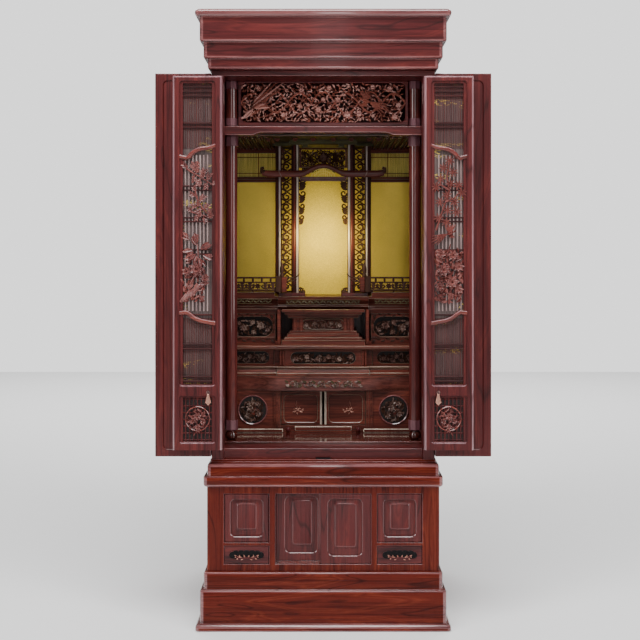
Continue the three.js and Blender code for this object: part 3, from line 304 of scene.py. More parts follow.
# Small hinged doors: one board each with a sunk field, rounded at its corners, and a
# raised block within it, worked with a moulding plane and polished.
class Work:
    """One piece on the bench, in millimetres, as points and faces with a tone each."""

    def __init__(self):
        self.points, self.faces, self.tones = [], [], []

    def put(self, points, faces, tone=0):
        base = len(self.points)
        self.points.extend(points)
        self.faces.extend(tuple(base + i for i in face) for face in faces)
        self.tones.extend([tone] * len(faces))

    def loft(self, rings, tone=0, ends=True, around=False):
        """A skin over rings with the same number of points."""
        count = len(rings[0])
        pairs = [(i, i + 1) for i in range(len(rings) - 1)]
        if around:
            pairs.append((len(rings) - 1, 0))
        faces = []
        for a, b in pairs:
            for i in range(count):
                j = (i + 1) % count
                faces.append((a * count + i, a * count + j, b * count + j, b * count + i))
        if ends and not around:
            faces.append(tuple(range(count)))
            faces.append(tuple((len(rings) - 1) * count + i for i in range(count)))
        self.put([point for ring in rings for point in ring], faces, tone)

    def stages(self, rings, around=False):
        """A skin over rings that each name the tone of the strip that leads to them."""
        chain = rings + [rings[0]] if around else rings
        for (before, _), (after, tone) in zip(chain, chain[1:]):
            self.loft([before, after], tone, ends=False)
        if not around:
            count = len(rings[0][0])
            self.put(rings[0][0], [tuple(range(count))], rings[0][1])
            self.put(rings[-1][0], [tuple(range(count))], rings[-1][1])

    def mirror(self):
        other = Work()
        other.put([(-x, y, z) for x, y, z in self.points], [face[::-1] for face in self.faces])
        other.tones = list(self.tones)
        return other

    def sided(self, sign):
        """A piece drawn for the left side, as it is on the side that sign names."""
        return self.mirror() if sign > 0 else self

    def bar(self, x0, x1, y0, y1, z0, z1, ease=0.5, tone=0, edge=None):
        """A plain bar with eased arrises."""
        # edge is the tone of the front arris, on most pieces a paler finish that is a painted highlight.
        edge = tone if edge is None else edge
        small = min(ease, (x1 - x0) / 3, (z1 - z0) / 3, (y1 - y0) / 3)
        front = (x0, x1, z0, z1)
        self.stages([(rounded(*front, small, y1, 1), tone), (rounded(*front, small, y0 + small, 1), tone),
                     (rounded(*wider(front, -small), small * 0.4, y0, 1), edge),
                     (rounded(*wider(front, -small - 0.1), small * 0.3, y0, 1), tone)])
        return self

    def done(self, name, finishes, smooth=SMOOTH):
        work = bmesh.new()
        verts = [work.verts.new((x * MM, y * MM, z * MM)) for x, y, z in self.points]
        for face, tone in zip(self.faces, self.tones):
            work.faces.new([verts[i] for i in face]).material_index = tone
        return as_object(name, work, finishes, smooth)

    def fitted(self, name, finishes, node, smooth=SMOOTH):
        """The finished piece in the place of a node."""
        return fit(self.done(name, finishes, smooth), "rosewood", node)

    def mounted(self, name, finishes, body="cabinet", slot="rosewood"):
        """The finished piece on a body, beside the one that stands for the node."""
        return mount(self.done(name, finishes), body)


def rounded(x0, x1, z0, z1, r, y, steps=6):
    """A rectangle with round corners, drawn upright at depth y."""
    ring = []
    for cx, cz, start in ((x1 - r, z0 + r, -90), (x1 - r, z1 - r, 0), (x0 + r, z1 - r, 90),
                          (x0 + r, z0 + r, 180)):
        for i in range(steps + 1):
            a = radians(start + 90 * i / steps)
            ring.append((cx + r * cos(a), y, cz + r * sin(a)))
    return ring


def wider(area, by):
    """A rectangle x0, x1, z0, z1 grown by the same width all round."""
    return (area[0] - by, area[1] + by, area[2] - by, area[3] + by)


def fielded(work, box, field, r, sunk, block=None):
    """A board whose face has a sunk field and maybe a raised block in it."""
    board = (box[0], box[1], box[4], box[5])
    face = box[2]
    # Strips of tone 1 round the board, the field and the block take the paler arris finish: a painted
    # highlight.
    rings = [(board, 0.8, box[3], 0), (board, 0.8, face + 1.4, 0), (wider(board, -1.4), 0.8, face, 1),
             (wider(field, 1.6), r + 1.6, face, 0), (field, r, face + 1.2, 1),
             (wider(field, -0.6), r - 0.6, face + sunk, 0)]
    if block:
        rise = face + sunk * 0.42
        rings += [(wider(block, 6), r * 0.8, face + sunk, 0),
                  (wider(block, 3), r * 0.65, face + sunk * 0.8, 0), (block, r * 0.5, rise, 0),
                  (wider(block, -1.5), r * 0.45, rise - 0.7, 1), (wider(block, -3), r * 0.4, rise, 0)]
    work.stages([(rounded(*area, corner, y), tone) for area, corner, y, tone in rings])


def inset(box, left, right, low, high):
    """The upright rectangle within a box or rectangle, each side moved in by its own width."""
    return (box[0] + left, box[1] - right, box[-2] + low, box[-1] - high)


SIDES = {"left": -1, "right": 1}
for side in SIDES:
    box = span(f"small_door_{side}")
    door = Work()
    field = inset(box, 15, 15, 14, 14)
    fielded(door, box, field, 12, 6.5, inset(field, 17, 17, 19, 12))
    door.fitted(f"small_door_{side}_board", STANDING, f"small_door_{side}")

# Drawers: dovetailed boxes with a rosewood front, and on it a cloud-shaped plate of
# blackened iron with a chased copper spray that is the pull.
def blackened(name, base, gloss, flecks):
    """Dark metal with a rubbed, slightly uneven face."""
    mat, tree, shader, coords = material(name)
    mottle = noise(tree, coords, 300.0, 300.0, "x", 3.0)
    colour = ramp(tree, mottle, [(0.3, base), (0.75, flecks)])
    surface(tree, shader, colour, (mottle,), gloss - 0.1, gloss + 0.12, 0.0002)
    shader.inputs["Metallic"].default_value = 0.85
    return mat


IRON = blackened("blackened_iron", (0.004, 0.004, 0.005), 0.5, (0.016, 0.014, 0.014))
COPPER = blackened("chased_copper", (0.42, 0.19, 0.14), 0.34, (0.66, 0.36, 0.27))
LEAF_STATIONS = ((0.2, 0.7), (0.5, 1.0), (0.8, 0.62))
LEAF_SECTION = ((-1, 0.0), (-0.5, 1.0), (0, 0.4), (0.5, 1.0), (1, 0.0), (0, -0.6))


def leaf(work, x, y, z, length, width, turn, lift=0.1, thick=2.0, curl=0.0, tone=0):
    """A carved leaf or petal with a sunk midrib; lift and curl raise its tip to the front."""
    c, s = cos(turn), sin(turn)

    def spot(a, b, h):
        rise = h + lift * a + curl * a * a / length
        return (x + a * c - b * s, y - rise, z + a * s + b * c)

    points = [spot(0, 0, 0)]
    for t, share in LEAF_STATIONS:
        for across, high in LEAF_SECTION:
            points.append(spot(t * length, across * share * width / 2, high * thick * share))
    points.append(spot(length, 0, 0))
    count = len(LEAF_SECTION)
    faces = []
    for i in range(count):
        j = (i + 1) % count
        faces.append((0, 1 + j, 1 + i))
        for row in range(len(LEAF_STATIONS) - 1):
            a = 1 + row * count
            faces.append((a + i, a + j, a + count + j, a + count + i))
        a = 1 + (len(LEAF_STATIONS) - 1) * count
        faces.append((a + i, a + j, len(points) - 1))
    work.put(points, faces, tone)


# The last column is the tone: the inner, raised rings take the pale finish as a painted highlight.
PETALS = ((7, 1.0, 0.6, 0.1, 0), (6, 0.72, 0.62, 0.5, 1), (4, 0.42, 0.7, 1.0, 1))


def bloom(work, x, y, z, r, turn=0.0, tones=1):
    """A peony: rings of cupped petals, each ring shorter and more upright than the last."""
    for count, reach, broad, lift, tone in PETALS:
        for i in range(count):
            a = turn + reach * 2 + i / count * 2 * pi
            leaf(work, x, y - 0.12 * r * (1 - reach), z, r * reach, r * broad, a, lift, r * 0.13, 0.1,
                 tone * tones)


def bunch(work, x, y, z, spots, share=1.0):
    """Peonies at dx, dz from a place, each with its size."""
    for dx, dz, r in spots:
        bloom(work, x + dx, y, z + dz, r * share, dx)


def stem(work, path, r, tone=0, sides=5, y=None, flat=1.0):
    """A round stem along points in x, z; r may shrink towards the tip."""
    rings = []
    last = len(path) - 1
    for i, (px, pz) in enumerate(path):
        ax, az = path[max(0, i - 1)]
        bx, bz = path[min(last, i + 1)]
        size = hypot(bx - ax, bz - az) or 1.0
        nx, nz = -(bz - az) / size, (bx - ax) / size
        here = r[0] + (r[1] - r[0]) * i / last if isinstance(r, tuple) else r
        ring = []
        for k in range(sides):
            a = (k + 0.5) / sides * 2 * pi
            ring.append((px + nx * here * cos(a), y + flat * here * sin(a), pz + nz * here * cos(a)))
        rings.append(ring)
    work.loft(rings, tone)


def curl(x, z, r, start, turns, steps=12, tight=0.25):
    """Points of a scroll that winds inwards from its outer end."""
    path = []
    for i in range(steps + 1):
        t = i / steps
        a = start + turns * 2 * pi * t
        reach = r * (1 - (1 - tight) * t)
        path.append((x + reach * cos(a), z + reach * sin(a)))
    return path


def moved(path, x, z):
    return [(x + dx, z + dz) for dx, dz in path]


def facing(turn, way):
    """A turn as drawn for the right, or the same mirrored."""
    return turn if way > 0 else pi - turn


def disc(x, z, r, y, count=28):
    return [(x + r * cos(i / count * 2 * pi), y, z + r * sin(i / count * 2 * pi))
            for i in range(count)]


def discs(x, z, steps, count=28):
    """Rings one behind the other, each with its radius and depth."""
    return [disc(x, z, r, y, count) for r, y in steps]


CLOUD_LOBES = 5


def cloud_outline(cx, cz, half, high, y, steps=7):
    """A long plate seen from the front: round ends, a straight foot and lobes along the top."""
    ring = [(cx - half + high, y, cz - high), (cx + half - high, y, cz - high)]
    wide = 2 * (half - high) / CLOUD_LOBES
    for i in range(1, steps):
        a = radians(-90 + 180 * i / steps)
        ring.append((cx + half - high + high * cos(a), y, cz + high * sin(a)))
    for k in range(CLOUD_LOBES):
        for i in range(steps):
            a = pi * i / steps
            x = cx + half - high - k * wide - wide * (1 - cos(a)) / 2
            ring.append((x, y, cz + high - 2 + 3 * sin(a) + 2.5 * (1 - ((x - cx) / half) ** 2)))
    for i in range(1, steps):
        a = radians(90 + 180 * i / steps)
        ring.append((cx - half + high + high * cos(a), y, cz + high * sin(a)))
    return ring


for side in SIDES:
    dress(f"drawer_{side}", ACROSS)
    box = span(f"small_door_{side}")
    low = span(f"drawer_{side}")
    cx, cz = (box[0] + box[1]) / 2, (low[4] + low[5]) / 2
    face = box[2]
    plate = Work()
    plate.loft([cloud_outline(cx, cz, half, high, y)
                for half, high, y in ((45.5, 9, face + 0.4), (45.5, 9, face - 2.0), (44.3, 8, face - 2.8))])
    spray = Work()
    for way in (-1, 1):
        stem(spray, [(cx + way * x, cz + z) for x, z in ((2, -6), (10, -9), (19, -7), (26, -3), (31, -6))],
             (1.7, 0.9), y=face - 3.4)
        for x, z, turn in ((4, -7, 1.2), (11, -8.5, 0.7), (18, -7, 1.5), (25, -4, 0.6), (8, -8.5, -0.5),
                           (20, -6, -0.6)):
            leaf(spray, cx + way * x, face - 3.6, cz + z, 8.5, 3.6, facing(turn, way), 0.06, 1.1)
    plate.mounted(f"pull_plate_{side}", [IRON], f"drawer_{side}", "iron")
    spray.mounted(f"pull_spray_{side}", [COPPER], f"drawer_{side}", "iron")

# Sliding doors: thinner boards with a tall sunk field and a raised block each; the
# right one runs in the front groove and covers the inner edge of the left one.
for side, field, block in (("left", (24, 8, 21, 8), (44, 23, 42, 18)),
                           ("right", (22, 22, 21, 12), (40, 38, 44, 24))):
    box = span(f"sliding_door_{side}")
    door = Work()
    fielded(door, box, inset(box, *field), 14, 4.2, inset(box, *block))
    door.fitted(f"sliding_door_{side}_board", STANDING, f"sliding_door_{side}")

# Middle ledge: two moulded steps and a thin pad under the case, with a small iron
# catch plate let into the pad for the bolt of the outer leaves.
dress("middle_ledge", LOW_ACROSS, lips=True)
dress("catch_plate", [IRON, IRON], "iron", 0.4)

# Upper case: side walls with their front posts, back, roof board, sill and floor
# board. The floor board and the walls are lacquered to a mirror.
MIRROR_WOOD = rosewood("mirror_lacquered_floor", "x", (0.03, 0.006, 0.004), (0.06, 0.012, 0.008),
                       (0.09, 0.016, 0.01), 0.1, 1.0)
SHRINE_WOOD = rosewood("shrine_rosewood", "x", (0.06, 0.0135, 0.008), (0.12, 0.026, 0.0165),
                       (0.175, 0.038, 0.022), 0.42, 0.0, 0.16)
# The pale, olive arris finish of the shrine is a painted highlight along its edges.
SHRINE_EDGE = rosewood("shrine_arris_painted_highlight", "x", (0.13, 0.085, 0.055), (0.2, 0.14, 0.095), (0.24, 0.18, 0.125),
                       0.3, 0.3)
SHRINE = [SHRINE_WOOD, SHRINE_EDGE]
for node in ("case_wall_left", "case_wall_right", "case_back"):
    dress(node, STANDING)
dress("roof_board", ACROSS)
dress("sill", ACROSS)
dress("floor_board", [MIRROR_WOOD, EDGE_X])

# Crown: four stepped tiers of rosewood with rounded lips, closed by a flat top. Each is
# mitred at its front corners and glued on the one below.
dress("crown", ACROSS, lips=True)

# Tie beam with a low wave at both ends, and the pillars: polished shafts between
# lighter collars, the tall ones standing on a turned ball.
COLLAR = rosewood("collar_wood", "z", (0.08, 0.025, 0.032), (0.15, 0.055, 0.066), (0.2, 0.08, 0.09), 0.3,
                  0.3)
SHAFT = rosewood("polished_shaft", "z", (0.05, 0.009, 0.009), (0.09, 0.016, 0.014), (0.13, 0.024, 0.018),
                 0.5, 1.0, 0.1)
dress("tie_beam", ACROSS, easing=2.4)


def spun(work, x, y, profile, tone=0, sides=32):
    """A turned piece: rings of radius r at height z."""
    work.loft([[(x + r * cos(i / sides * 2 * pi), y + r * sin(i / sides * 2 * pi), z)
                for i in range(sides)] for r, z in profile], tone)


BALL = [(9, 0), (13, 1.5), (16, 5), (17, 9), (17, 13), (15.5, 18), (13, 22), (12, 24), (13, 27)]
PILLARS = (("short", 1.6, (20, 20), (0, 22), 22), ("main", 1.8, (50, 26), (26, 54), 28))
for side in SIDES:
    for kind, slack, bare, foot, head in PILLARS:
        node = f"{kind}_pillar_{side}"
        x0, x1, y0, y1, z0, z1 = span(node)
        x, y, r = (x0 + x1) / 2, (y0 + y1) / 2, (x1 - x0) / 2 - slack
        shaft = Work()
        spun(shaft, x, y, [(r, z0 + bare[0]), (r, z1 - bare[1])])
        for low, high in ((z0 + foot[0], z0 + foot[1]), (z1 - head, z1)):
            full = r + slack - 0.1
            spun(shaft, x, y, [(r + 0.2, low), (full, low + 1), (full, high - 1), (r + 0.2, high)], 1, 8)
        if kind == "main":
            spun(shaft, x, y, [(ring, z0 + rise) for ring, rise in BALL], 2)
        finishes = [SHAFT, COLLAR, MIRROR_WOOD] if kind == "main" else [SHAFT, COLLAR]
        shaft.fitted(f"{node}_shaft", finishes, node)

# Transom: one board pierced and carved right through with peonies, leaves and two
# long-tailed birds, in a plain frame with cut corners. Left nearly matt.
# The second, pale copy is a painted highlight on the foremost leaves and inner petals; the long leaves at
# the left alternate between the two.
CARVED = [rosewood("carved_rosewood", "x", (0.13, 0.032, 0.02), (0.26, 0.075, 0.05), (0.37, 0.115, 0.08),
                   0.36, 0.2), rosewood("carved_rosewood_pale", "x", (0.33, 0.14, 0.105), (0.52, 0.25, 0.2),
                                        (0.64, 0.36, 0.3), 0.3, 0.5)]


def rim(work, outer, inner, r, y0, y1, lip=1.2, tone=0, edge=1, corner=0.8, chamfer=None, inside=1):
    """A frame round an opening with round corners; chamfer is its outer arris, left to top."""
    left, right, low, high = chamfer or (lip, lip, lip, lip)
    deep = max(lip, left)
    # Strips of tone edge take the second finish, which on most pieces is paler: a painted highlight.
    work.stages([(rounded(*outer, corner, y1), tone), (rounded(*outer, corner, y0 + deep), tone),
                 (rounded(*inset(outer, left, right, low, high), corner, y0), edge),
                 (rounded(*wider(inner, lip), r + lip, y0), tone),
                 (rounded(*inner, r, y0 + lip), min(edge, inside)), (rounded(*inner, r, y1), tone)],
                around=True)



def foliage(work, field, inside, y, pitch, size, seed, deep=4.0, sprigs=3, pale=0.35):
    """Overlapping leaves, a sprig to each cell, none past the field's edge; the pale ones stand higher."""
    draw = random.Random(seed)
    x0, x1, z0, z1 = field
    for col in range(int((x1 - x0) / pitch)):
        for row in range(int((z1 - z0) / pitch)):
            x = x0 + (col + draw.uniform(0.2, 0.8)) * pitch
            z = z0 + (row + draw.uniform(0.2, 0.8)) * pitch
            first = draw.uniform(0, 2 * pi)
            for k in range(sprigs):
                a = first + k * 2 * pi / sprigs + draw.uniform(-0.5, 0.5)
                long = size * draw.uniform(0.75, 1.25)
                depth = draw.uniform(0, deep)
                if not inside(x + long * cos(a), z + long * sin(a)):
                    a += pi
                if inside(x + long * cos(a), z + long * sin(a)) and inside(x, z):
                    # The foremost leaves take the pale finish: a painted highlight.
                    tone = int(depth < deep * pale)
                    leaf(work, x, y + depth, z, long, long * 0.38, a, 0.16, size * 0.13, 0.12, tone)


def within(field):
    """Whether a point lies in a rectangle."""
    return lambda x, z: field[0] < x < field[1] and field[2] < z < field[3]


def vine(x0, x1, z, swing, waves, steps=40):
    """A stem that swings from side to side along a panel."""
    return [(x0 + (x1 - x0) * i / steps, z + swing * sin(i / steps * waves * 2 * pi))
            for i in range(steps + 1)]


def bird(work, x, y, z, size, way):
    """A long-tailed bird in flight: body, head, two fans of wing feathers and a streaming tail."""
    feathers = [(-0.3, -2, -0.1, 0.75, 0.3, 0.35, 0.1, 0.12), (0.3, -3, 0.08, 0.34, 0.17, 0.6, 0.1, 0.1)]
    for k in range(6):
        feathers += [(0, -2 + k * 0.2, 0, 1.0 - k * 0.07, 0.15, 1.0 + k * 0.24, 0.05, 0.05),
                     (0, -1 + k * 0.2, 0, 0.62 - k * 0.05, 0.13, -0.7 - k * 0.2, 0.05, 0.05)]
    for k in range(5):
        feathers.append((-0.2, -1, -0.05, 1.9 - abs(k - 2) * 0.22, 0.12, pi + 0.15 + k * 0.16, 0.02, 0.05))
    for dx, dy, dz, length, width, turn, lift, thick in feathers:
        leaf(work, x + way * size * dx, y + dy, z + size * dz, size * length, size * width,
             facing(turn, way), lift, size * thick)


box = span("transom_panel")
FIELD = (box[0] + 8, box[1] - 8, box[4] + 11, box[5] - 4)
CORNER = 15
transom = Work()
rim(transom, (box[0], box[1], box[4], box[5]), FIELD, CORNER, box[2], box[3], 1.4)
transom.fitted("transom_frame", [WOOD_X, WOOD_X], "transom_panel")
carving = Work()
mid_z = (FIELD[2] + FIELD[3]) / 2


def in_transom(x, z):
    dx = max(0, abs(x) - (FIELD[1] - CORNER)) / CORNER
    dz = max(0, abs(z - mid_z) - ((FIELD[3] - FIELD[2]) / 2 - CORNER)) / CORNER
    return dx * dx + dz * dz < 1.05


foliage(carving, FIELD, in_transom, box[2] + 5.5, 9.8, 10.0, 11, deep=7.0, sprigs=2, pale=0.4)
for swing in (26, -30):
    stem(carving, vine(FIELD[0] - 1, FIELD[1] + 1, mid_z, swing, 3.5, 80), 2.6, y=box[2] + 8)
PEONIES = ((-60, 34, 11), (-14, -20, 12), (16, 40, 10), (40, 8, 11), (66, -34, 14), (98, -30, 12),
           (-110, -34, 10), (182, 38, 11), (206, -8, 11), (196, -40, 12), (-178, 40, 9), (-64, -10, 10),
           (136, 42, 9), (0, 8, 9))
bunch(carving, 0, box[2] + 5, mid_z, PEONIES, 0.9)
for k in range(4):
    lean = 0.56 + k * 0.09
    leaf(carving, -198, box[2] + 3 - k * 0.4, mid_z - 16 + k * 3, 122 - abs(k - 1) * 16, 5.5, lean, 0.0,
         2.6, 0, k % 2)
    leaf(carving, -190, box[2] + 2, mid_z - 16, 46 - k * 5, 7, 0.05 + k * 0.17, 0.02, 2.4, 0, (k + 1) % 2)
leaf(carving, -192, box[2] + 2, mid_z - 18, 40, 15, pi + 0.75, 0.04, 3.4, 0, 1)
leaf(carving, -214, box[2] + 2, mid_z - 38, 15, 8, pi + 0.5, 0.04, 2.4, 0, 1)
bird(carving, 118, box[2] + 3, mid_z + 4, 36, -1)
carving.mounted("transom_carving", CARVED)

# Ceiling: a board over the shrine with thin ribs from front to back at both sides,
# lacquered dark, with a small cornice of blocks behind the tie beam.
CEILING_WOOD = rosewood("ceiling_wood", "y", (0.012, 0.009, 0.004), (0.022, 0.017, 0.008),
                        (0.034, 0.026, 0.012), 0.4)


def row_tree():
    """Copies of one motif in a straight row, each a step further than the last."""
    tree = bpy.data.node_groups.new("row_of_motifs", "GeometryNodeTree")
    for label, kind in (("Motif", "Geometry"), ("Count", "Int"), ("Start", "Vector"), ("Step", "Vector"),
                        ("Finish", "Material")):
        tree.interface.new_socket(label, in_out="INPUT", socket_type=f"NodeSocket{kind}")
    tree.interface.new_socket("Row", in_out="OUTPUT", socket_type="NodeSocketGeometry")
    inputs = tree.nodes.new("NodeGroupInput")
    line = tree.nodes.new("GeometryNodeMeshLine")
    line.mode = "OFFSET"
    copies = tree.nodes.new("GeometryNodeInstanceOnPoints")
    real = tree.nodes.new("GeometryNodeRealizeInstances")
    paint = tree.nodes.new("GeometryNodeSetMaterial")
    output = tree.nodes.new("NodeGroupOutput")
    links = ((inputs, "Count", line, "Count"), (inputs, "Start", line, "Start Location"),
             (inputs, "Step", line, "Offset"), (line, "Mesh", copies, "Points"),
             (inputs, "Motif", copies, "Instance"), (copies, "Instances", real, "Geometry"),
             (real, "Geometry", paint, "Geometry"), (inputs, "Finish", paint, "Material"),
             (paint, "Geometry", output, "Row"))
    for start, result, end, into in links:
        tree.links.new(start.outputs[result], end.inputs[into])
    return tree


ROW = row_tree()


def grown(piece, tree, values):
    """The piece as its tree makes it, turned into a plain mesh."""
    maker = piece.modifiers.new(tree.name, "NODES")
    maker.node_group = tree
    for item in tree.interface.items_tree:
        if item.in_out == "INPUT" and item.name in values:
            maker[item.identifier] = values[item.name]
    evaluated = piece.evaluated_get(bpy.context.evaluated_depsgraph_get())
    plain = bpy.data.meshes.new_from_object(evaluated)
    piece.modifiers.clear()
    piece.data = plain
    return piece


def in_row(name, motif, count, pitch, finish, body="cabinet"):
    """The motif where it was made, and count in all, each a pitch in millimetres further."""
    values = {"Count": count, "Start": (0.0, 0.0, 0.0), "Step": (pitch * MM, 0.0, 0.0), "Finish": finish}
    mount(grown(motif.done(name, [finish]), ROW, values), body)


dress("ceiling_board", [CEILING_WOOD, EDGE_X])
box = span("ceiling_board")
RIBS, RIB_PITCH, RIB_WIDE = 14, 9.0, 3
for side, sign in SIDES.items():
    x = box[0] + 14 if sign < 0 else box[1] - 14 - RIB_PITCH * (RIBS - 1) - RIB_WIDE
    rib = Work().bar(x, x + RIB_WIDE, box[2] + 24, box[3] - 72, box[4] + 0.4, box[4] + 5.4)
    in_row(f"ceiling_ribs_{side}", rib, RIBS, RIB_PITCH, WOOD_X)
blocks = Work()
for x in (-154, -128, -78, -28, 28, 78, 128, 154):
    blocks.bar(x - 8, x + 8, box[2] + 8, box[2] + 18, box[4] - 5, box[4] + 0.5, 1.5)
    blocks.bar(x - 5, x + 5, box[2] + 9, box[2] + 18, box[4] - 9, box[4] - 4.5, 1.5)
CORNICE_WOOD = rosewood("cornice_rosewood", "x", (0.02, 0.005, 0.003), (0.045, 0.01, 0.006),
                        (0.07, 0.014, 0.008), 0.4, 0.0, 0.12)
blocks.mounted("cornice_blocks", [CORNICE_WOOD])

# Gold backing panels behind the shrine: boards faced with gold foil of a fine sandy
# grain, the middle one set deeper.
def gold_foil(name):
    """Gold foil over a sandy ground, a little uneven in tone."""
    mat, tree, shader, coords = material(name)
    grit = noise(tree, coords, 700.0, 700.0, "x", 3.0)
    cloud = noise(tree, coords, 9.0, 9.0, "x", 2.0, 0.3, 5.0)
    sand = ramp(tree, grit, [(0.3, (0.62, 0.42, 0.05)), (0.7, (1.0, 0.76, 0.12))])
    drift = ramp(tree, cloud, [(0.3, (0.8, 0.8, 0.74)), (0.7, (1, 1, 1))])
    surface(tree, shader, shade(tree, sand, drift, 0.8, "MULTIPLY"), (grit,), 0.42, 0.6, 0.0005)
    shader.inputs["Metallic"].default_value = 0.45
    return mat


GOLD = gold_foil("gold_foil")
for node in ("gold_centre", "gold_side_left", "gold_side_right"):
    dress(node, [GOLD, GOLD], "gold", 0.5)
for side, sign in SIDES.items():
    strip = Work().bar(-118, -92, 205, 209, 1203, 1308)
    strip.sided(sign).mounted(f"gold_strip_{side}", [GOLD], slot="gold")

# Reed screens over the side panels: split reeds standing close together, held by thin
# dark laths to a lintel and a head rail.
def reed(name):
    """Split reed: pale, with fine fibres along it."""
    mat, tree, shader, coords = material(name)
    fibre = noise(tree, coords, 12.0, 420.0, "z", 3.0)
    colour = ramp(tree, fibre, [(0.3, (0.5, 0.4, 0.07)), (0.65, (1.0, 0.82, 0.22))])
    surface(tree, shader, colour, (fibre,), 0.4, 0.6, 0.0002)
    return mat


REED = reed("split_reed")
REED_PITCH = 3.6
for side in SIDES:
    x0, x1, y0, y1, z0, z1 = span(f"reed_screen_{side}")
    rails = Work()
    rails.bar(x0, x1, y0 + 2, y1, z0, z0 + 9, 1, 0, 1)
    rails.bar(x0, x1, y0, y1, z0 + 9, z0 + 16, 1, 0, 1)
    rails.bar(x0, x1, y0, y1, z1 - 16, z1, 1, 0, 1)
    for z in (z0 + 26, z1 - 30):
        rails.bar(x0, x1, y0 + 3, y0 + 6, z, z + 2, 0.4)
    xm = (x0 + x1) / 2
    rails.bar(xm - 1.2, xm + 1.2, y0 + 2.5, y0 + 6, z0 + 10, z1 - 10, 0.4)
    rails.fitted(f"reed_screen_{side}_rails", SHRINE, f"reed_screen_{side}")
    split = Work().bar(x0 + 1, x0 + 3.6, y0 + 5.4, y0 + 8, z0 + 14, z1 - 14, 0.9)
    in_row(f"reeds_{side}", split, int((x1 - x0 - 3) / REED_PITCH), REED_PITCH, REED)

# Column screens: a thin outer and a stouter inner column of dark wood with beads, the pale
# ones a painted highlight, a strip of pierced scrolls between them, a foot block and a scroll bracket.
# The second, pale copy is a painted highlight: on the foremost leaves, inner petals and pale arrises.
DARK_CARVED = [rosewood("dark_carved_wood", "z", (0.026, 0.01, 0.006), (0.052, 0.022, 0.013),
                        (0.08, 0.036, 0.023), 0.45, 0.0, 0.12),
               rosewood("dark_carved_wood_pale", "z", (0.08, 0.035, 0.025), (0.16, 0.09, 0.07),
                        (0.26, 0.19, 0.15), 0.3, 0.4)]
# The pale bead finish is a painted highlight down each column.
COLUMN = [rosewood("column_wood", "z", (0.014, 0.004, 0.003), (0.032, 0.008, 0.005), (0.055, 0.013, 0.008),
                   0.5, 0.0, 0.08), rosewood("column_bead_painted_highlight", "z", (0.3, 0.245, 0.21), (0.42, 0.355, 0.31),
                                             (0.52, 0.44, 0.39), 0.3, 0.4), WOOD_Z]


def bead(work, x0, x1, y0, z0, z1, tone):
    """A half-round bead standing on the face of an upright."""
    half = (x1 - x0) / 2
    ring = [(x0 + half - half * cos(i / 8 * pi), y0 - half * 0.7 * sin(i / 8 * pi)) for i in range(9)]
    ring += [(x1, y0 + 1), (x0, y0 + 1)]
    work.loft([[(x, y, z) for x, y in ring] for z in (z0, z1)], tone)


for side, sign in SIDES.items():
    x0, x1, y0, y1, z0, z1 = span("column_screen_left")
    columns = Work()
    columns.bar(x0 + 10, x0 + 88, y0 + 1, y1 - 1, z0, z0 + 10, 1, 2)
    for left, right, beads in ((x0, x0 + 19, ((9.6, 15.4, 1),)),
                               (x0 + 47, x0 + 69.6, ((7, 12, 2), (14.4, 21, 1)))):
        columns.bar(left, right, y0 + 14, y1 - 4, z0 + 9, z1, 1)
        for low, high, tone in beads:
            bead(columns, left + low, left + high, y0 + 14, z0 + 9, z1, tone)
    scroll = Work()
    top = 1209
    edge = x0 + 69.6
    for k, (drop, r) in enumerate(((-4, 11), (-25, 10.5), (-45, 10), (-64, 9), (-82, 8.5), (-99, 8),
                                   (-115, 7.5), (-130, 6.5))):
        stem(scroll, curl(edge + r + 1, top + drop, r, 0.6 if k % 2 else pi, 1.1, 14), (3.2, 2.0),
             y=y0 + 16)
        leaf(scroll, edge, y0 + 15, top + drop - r, r * 2.1, r * 1.1, 0.5 if k % 2 else -0.5, 0.1, 1.6)
    for k in range(3):
        stem(scroll, curl(edge + 6 + k * 4, z0 + 16 + k * 0.5, 9 - k * 2, pi / 2, 0.9, 10), (2.6, 1.8),
             y=y0 + 15)
    scroll.bar(edge - 2, edge + 19, y0 + 12, y0 + 20, z0 + 9, z0 + 16, 2)
    pitch = 29.6
    middle = x0 + 33
    for k in range(int((z1 - z0 - 20) / pitch)):
        z = z0 + 26 + k * pitch
        flip = 1 if k % 2 else -1
        stem(scroll, curl(middle, z, 11.5, pi / 2 * flip, 1.15 * flip, 14), (3.5, 2.2), y=y0 + 17)
        for lean in (-1, 1):
            stem(scroll, [(middle - lean * 14, z + pitch / 2 - 9), (middle - lean * 5, z + pitch / 2 - 3),
                          (middle + lean * 5, z + pitch / 2 + 3), (middle + lean * 14, z + pitch / 2 + 9)],
                 2.4, y=y0 + 17)
    columns.sided(sign).fitted(f"column_screen_{side}_uprights", COLUMN, f"column_screen_{side}")
    scroll.sided(sign).mounted(f"column_screen_{side}_scrolls", DARK_CARVED)

# Canopy beam with returns, and under it a panel pierced and carved right through with
# peonies, its frame cut from the same board.
# Its olive-grey colour is a painted reflection on the dark wood.
CANOPY_WOOD = rosewood("canopy_wood_painted_reflection", "x", (0.032, 0.03, 0.013), (0.05, 0.047, 0.021), (0.07, 0.064, 0.03),
                       0.5, 0.0, 0.08)
dress("canopy_beam", [CANOPY_WOOD, CANOPY_WOOD])
x0, x1, y0, y1, z0, z1 = span("peony_panel")
panel = Work()
rim(panel, (x0, x1, z0, z1), inset((x0, x1, z0, z1), 6, 6, 4, 5), 5, y0, y1)
panel.fitted("peony_panel_frame", SHRINE, "peony_panel")
peonies = Work()
cz = (z0 + z1) / 2


def in_peony_panel(x, z):
    return abs(x) < x1 - 4 and z < z1 - 4 and abs(x) > 2.1 * (1238 - z)


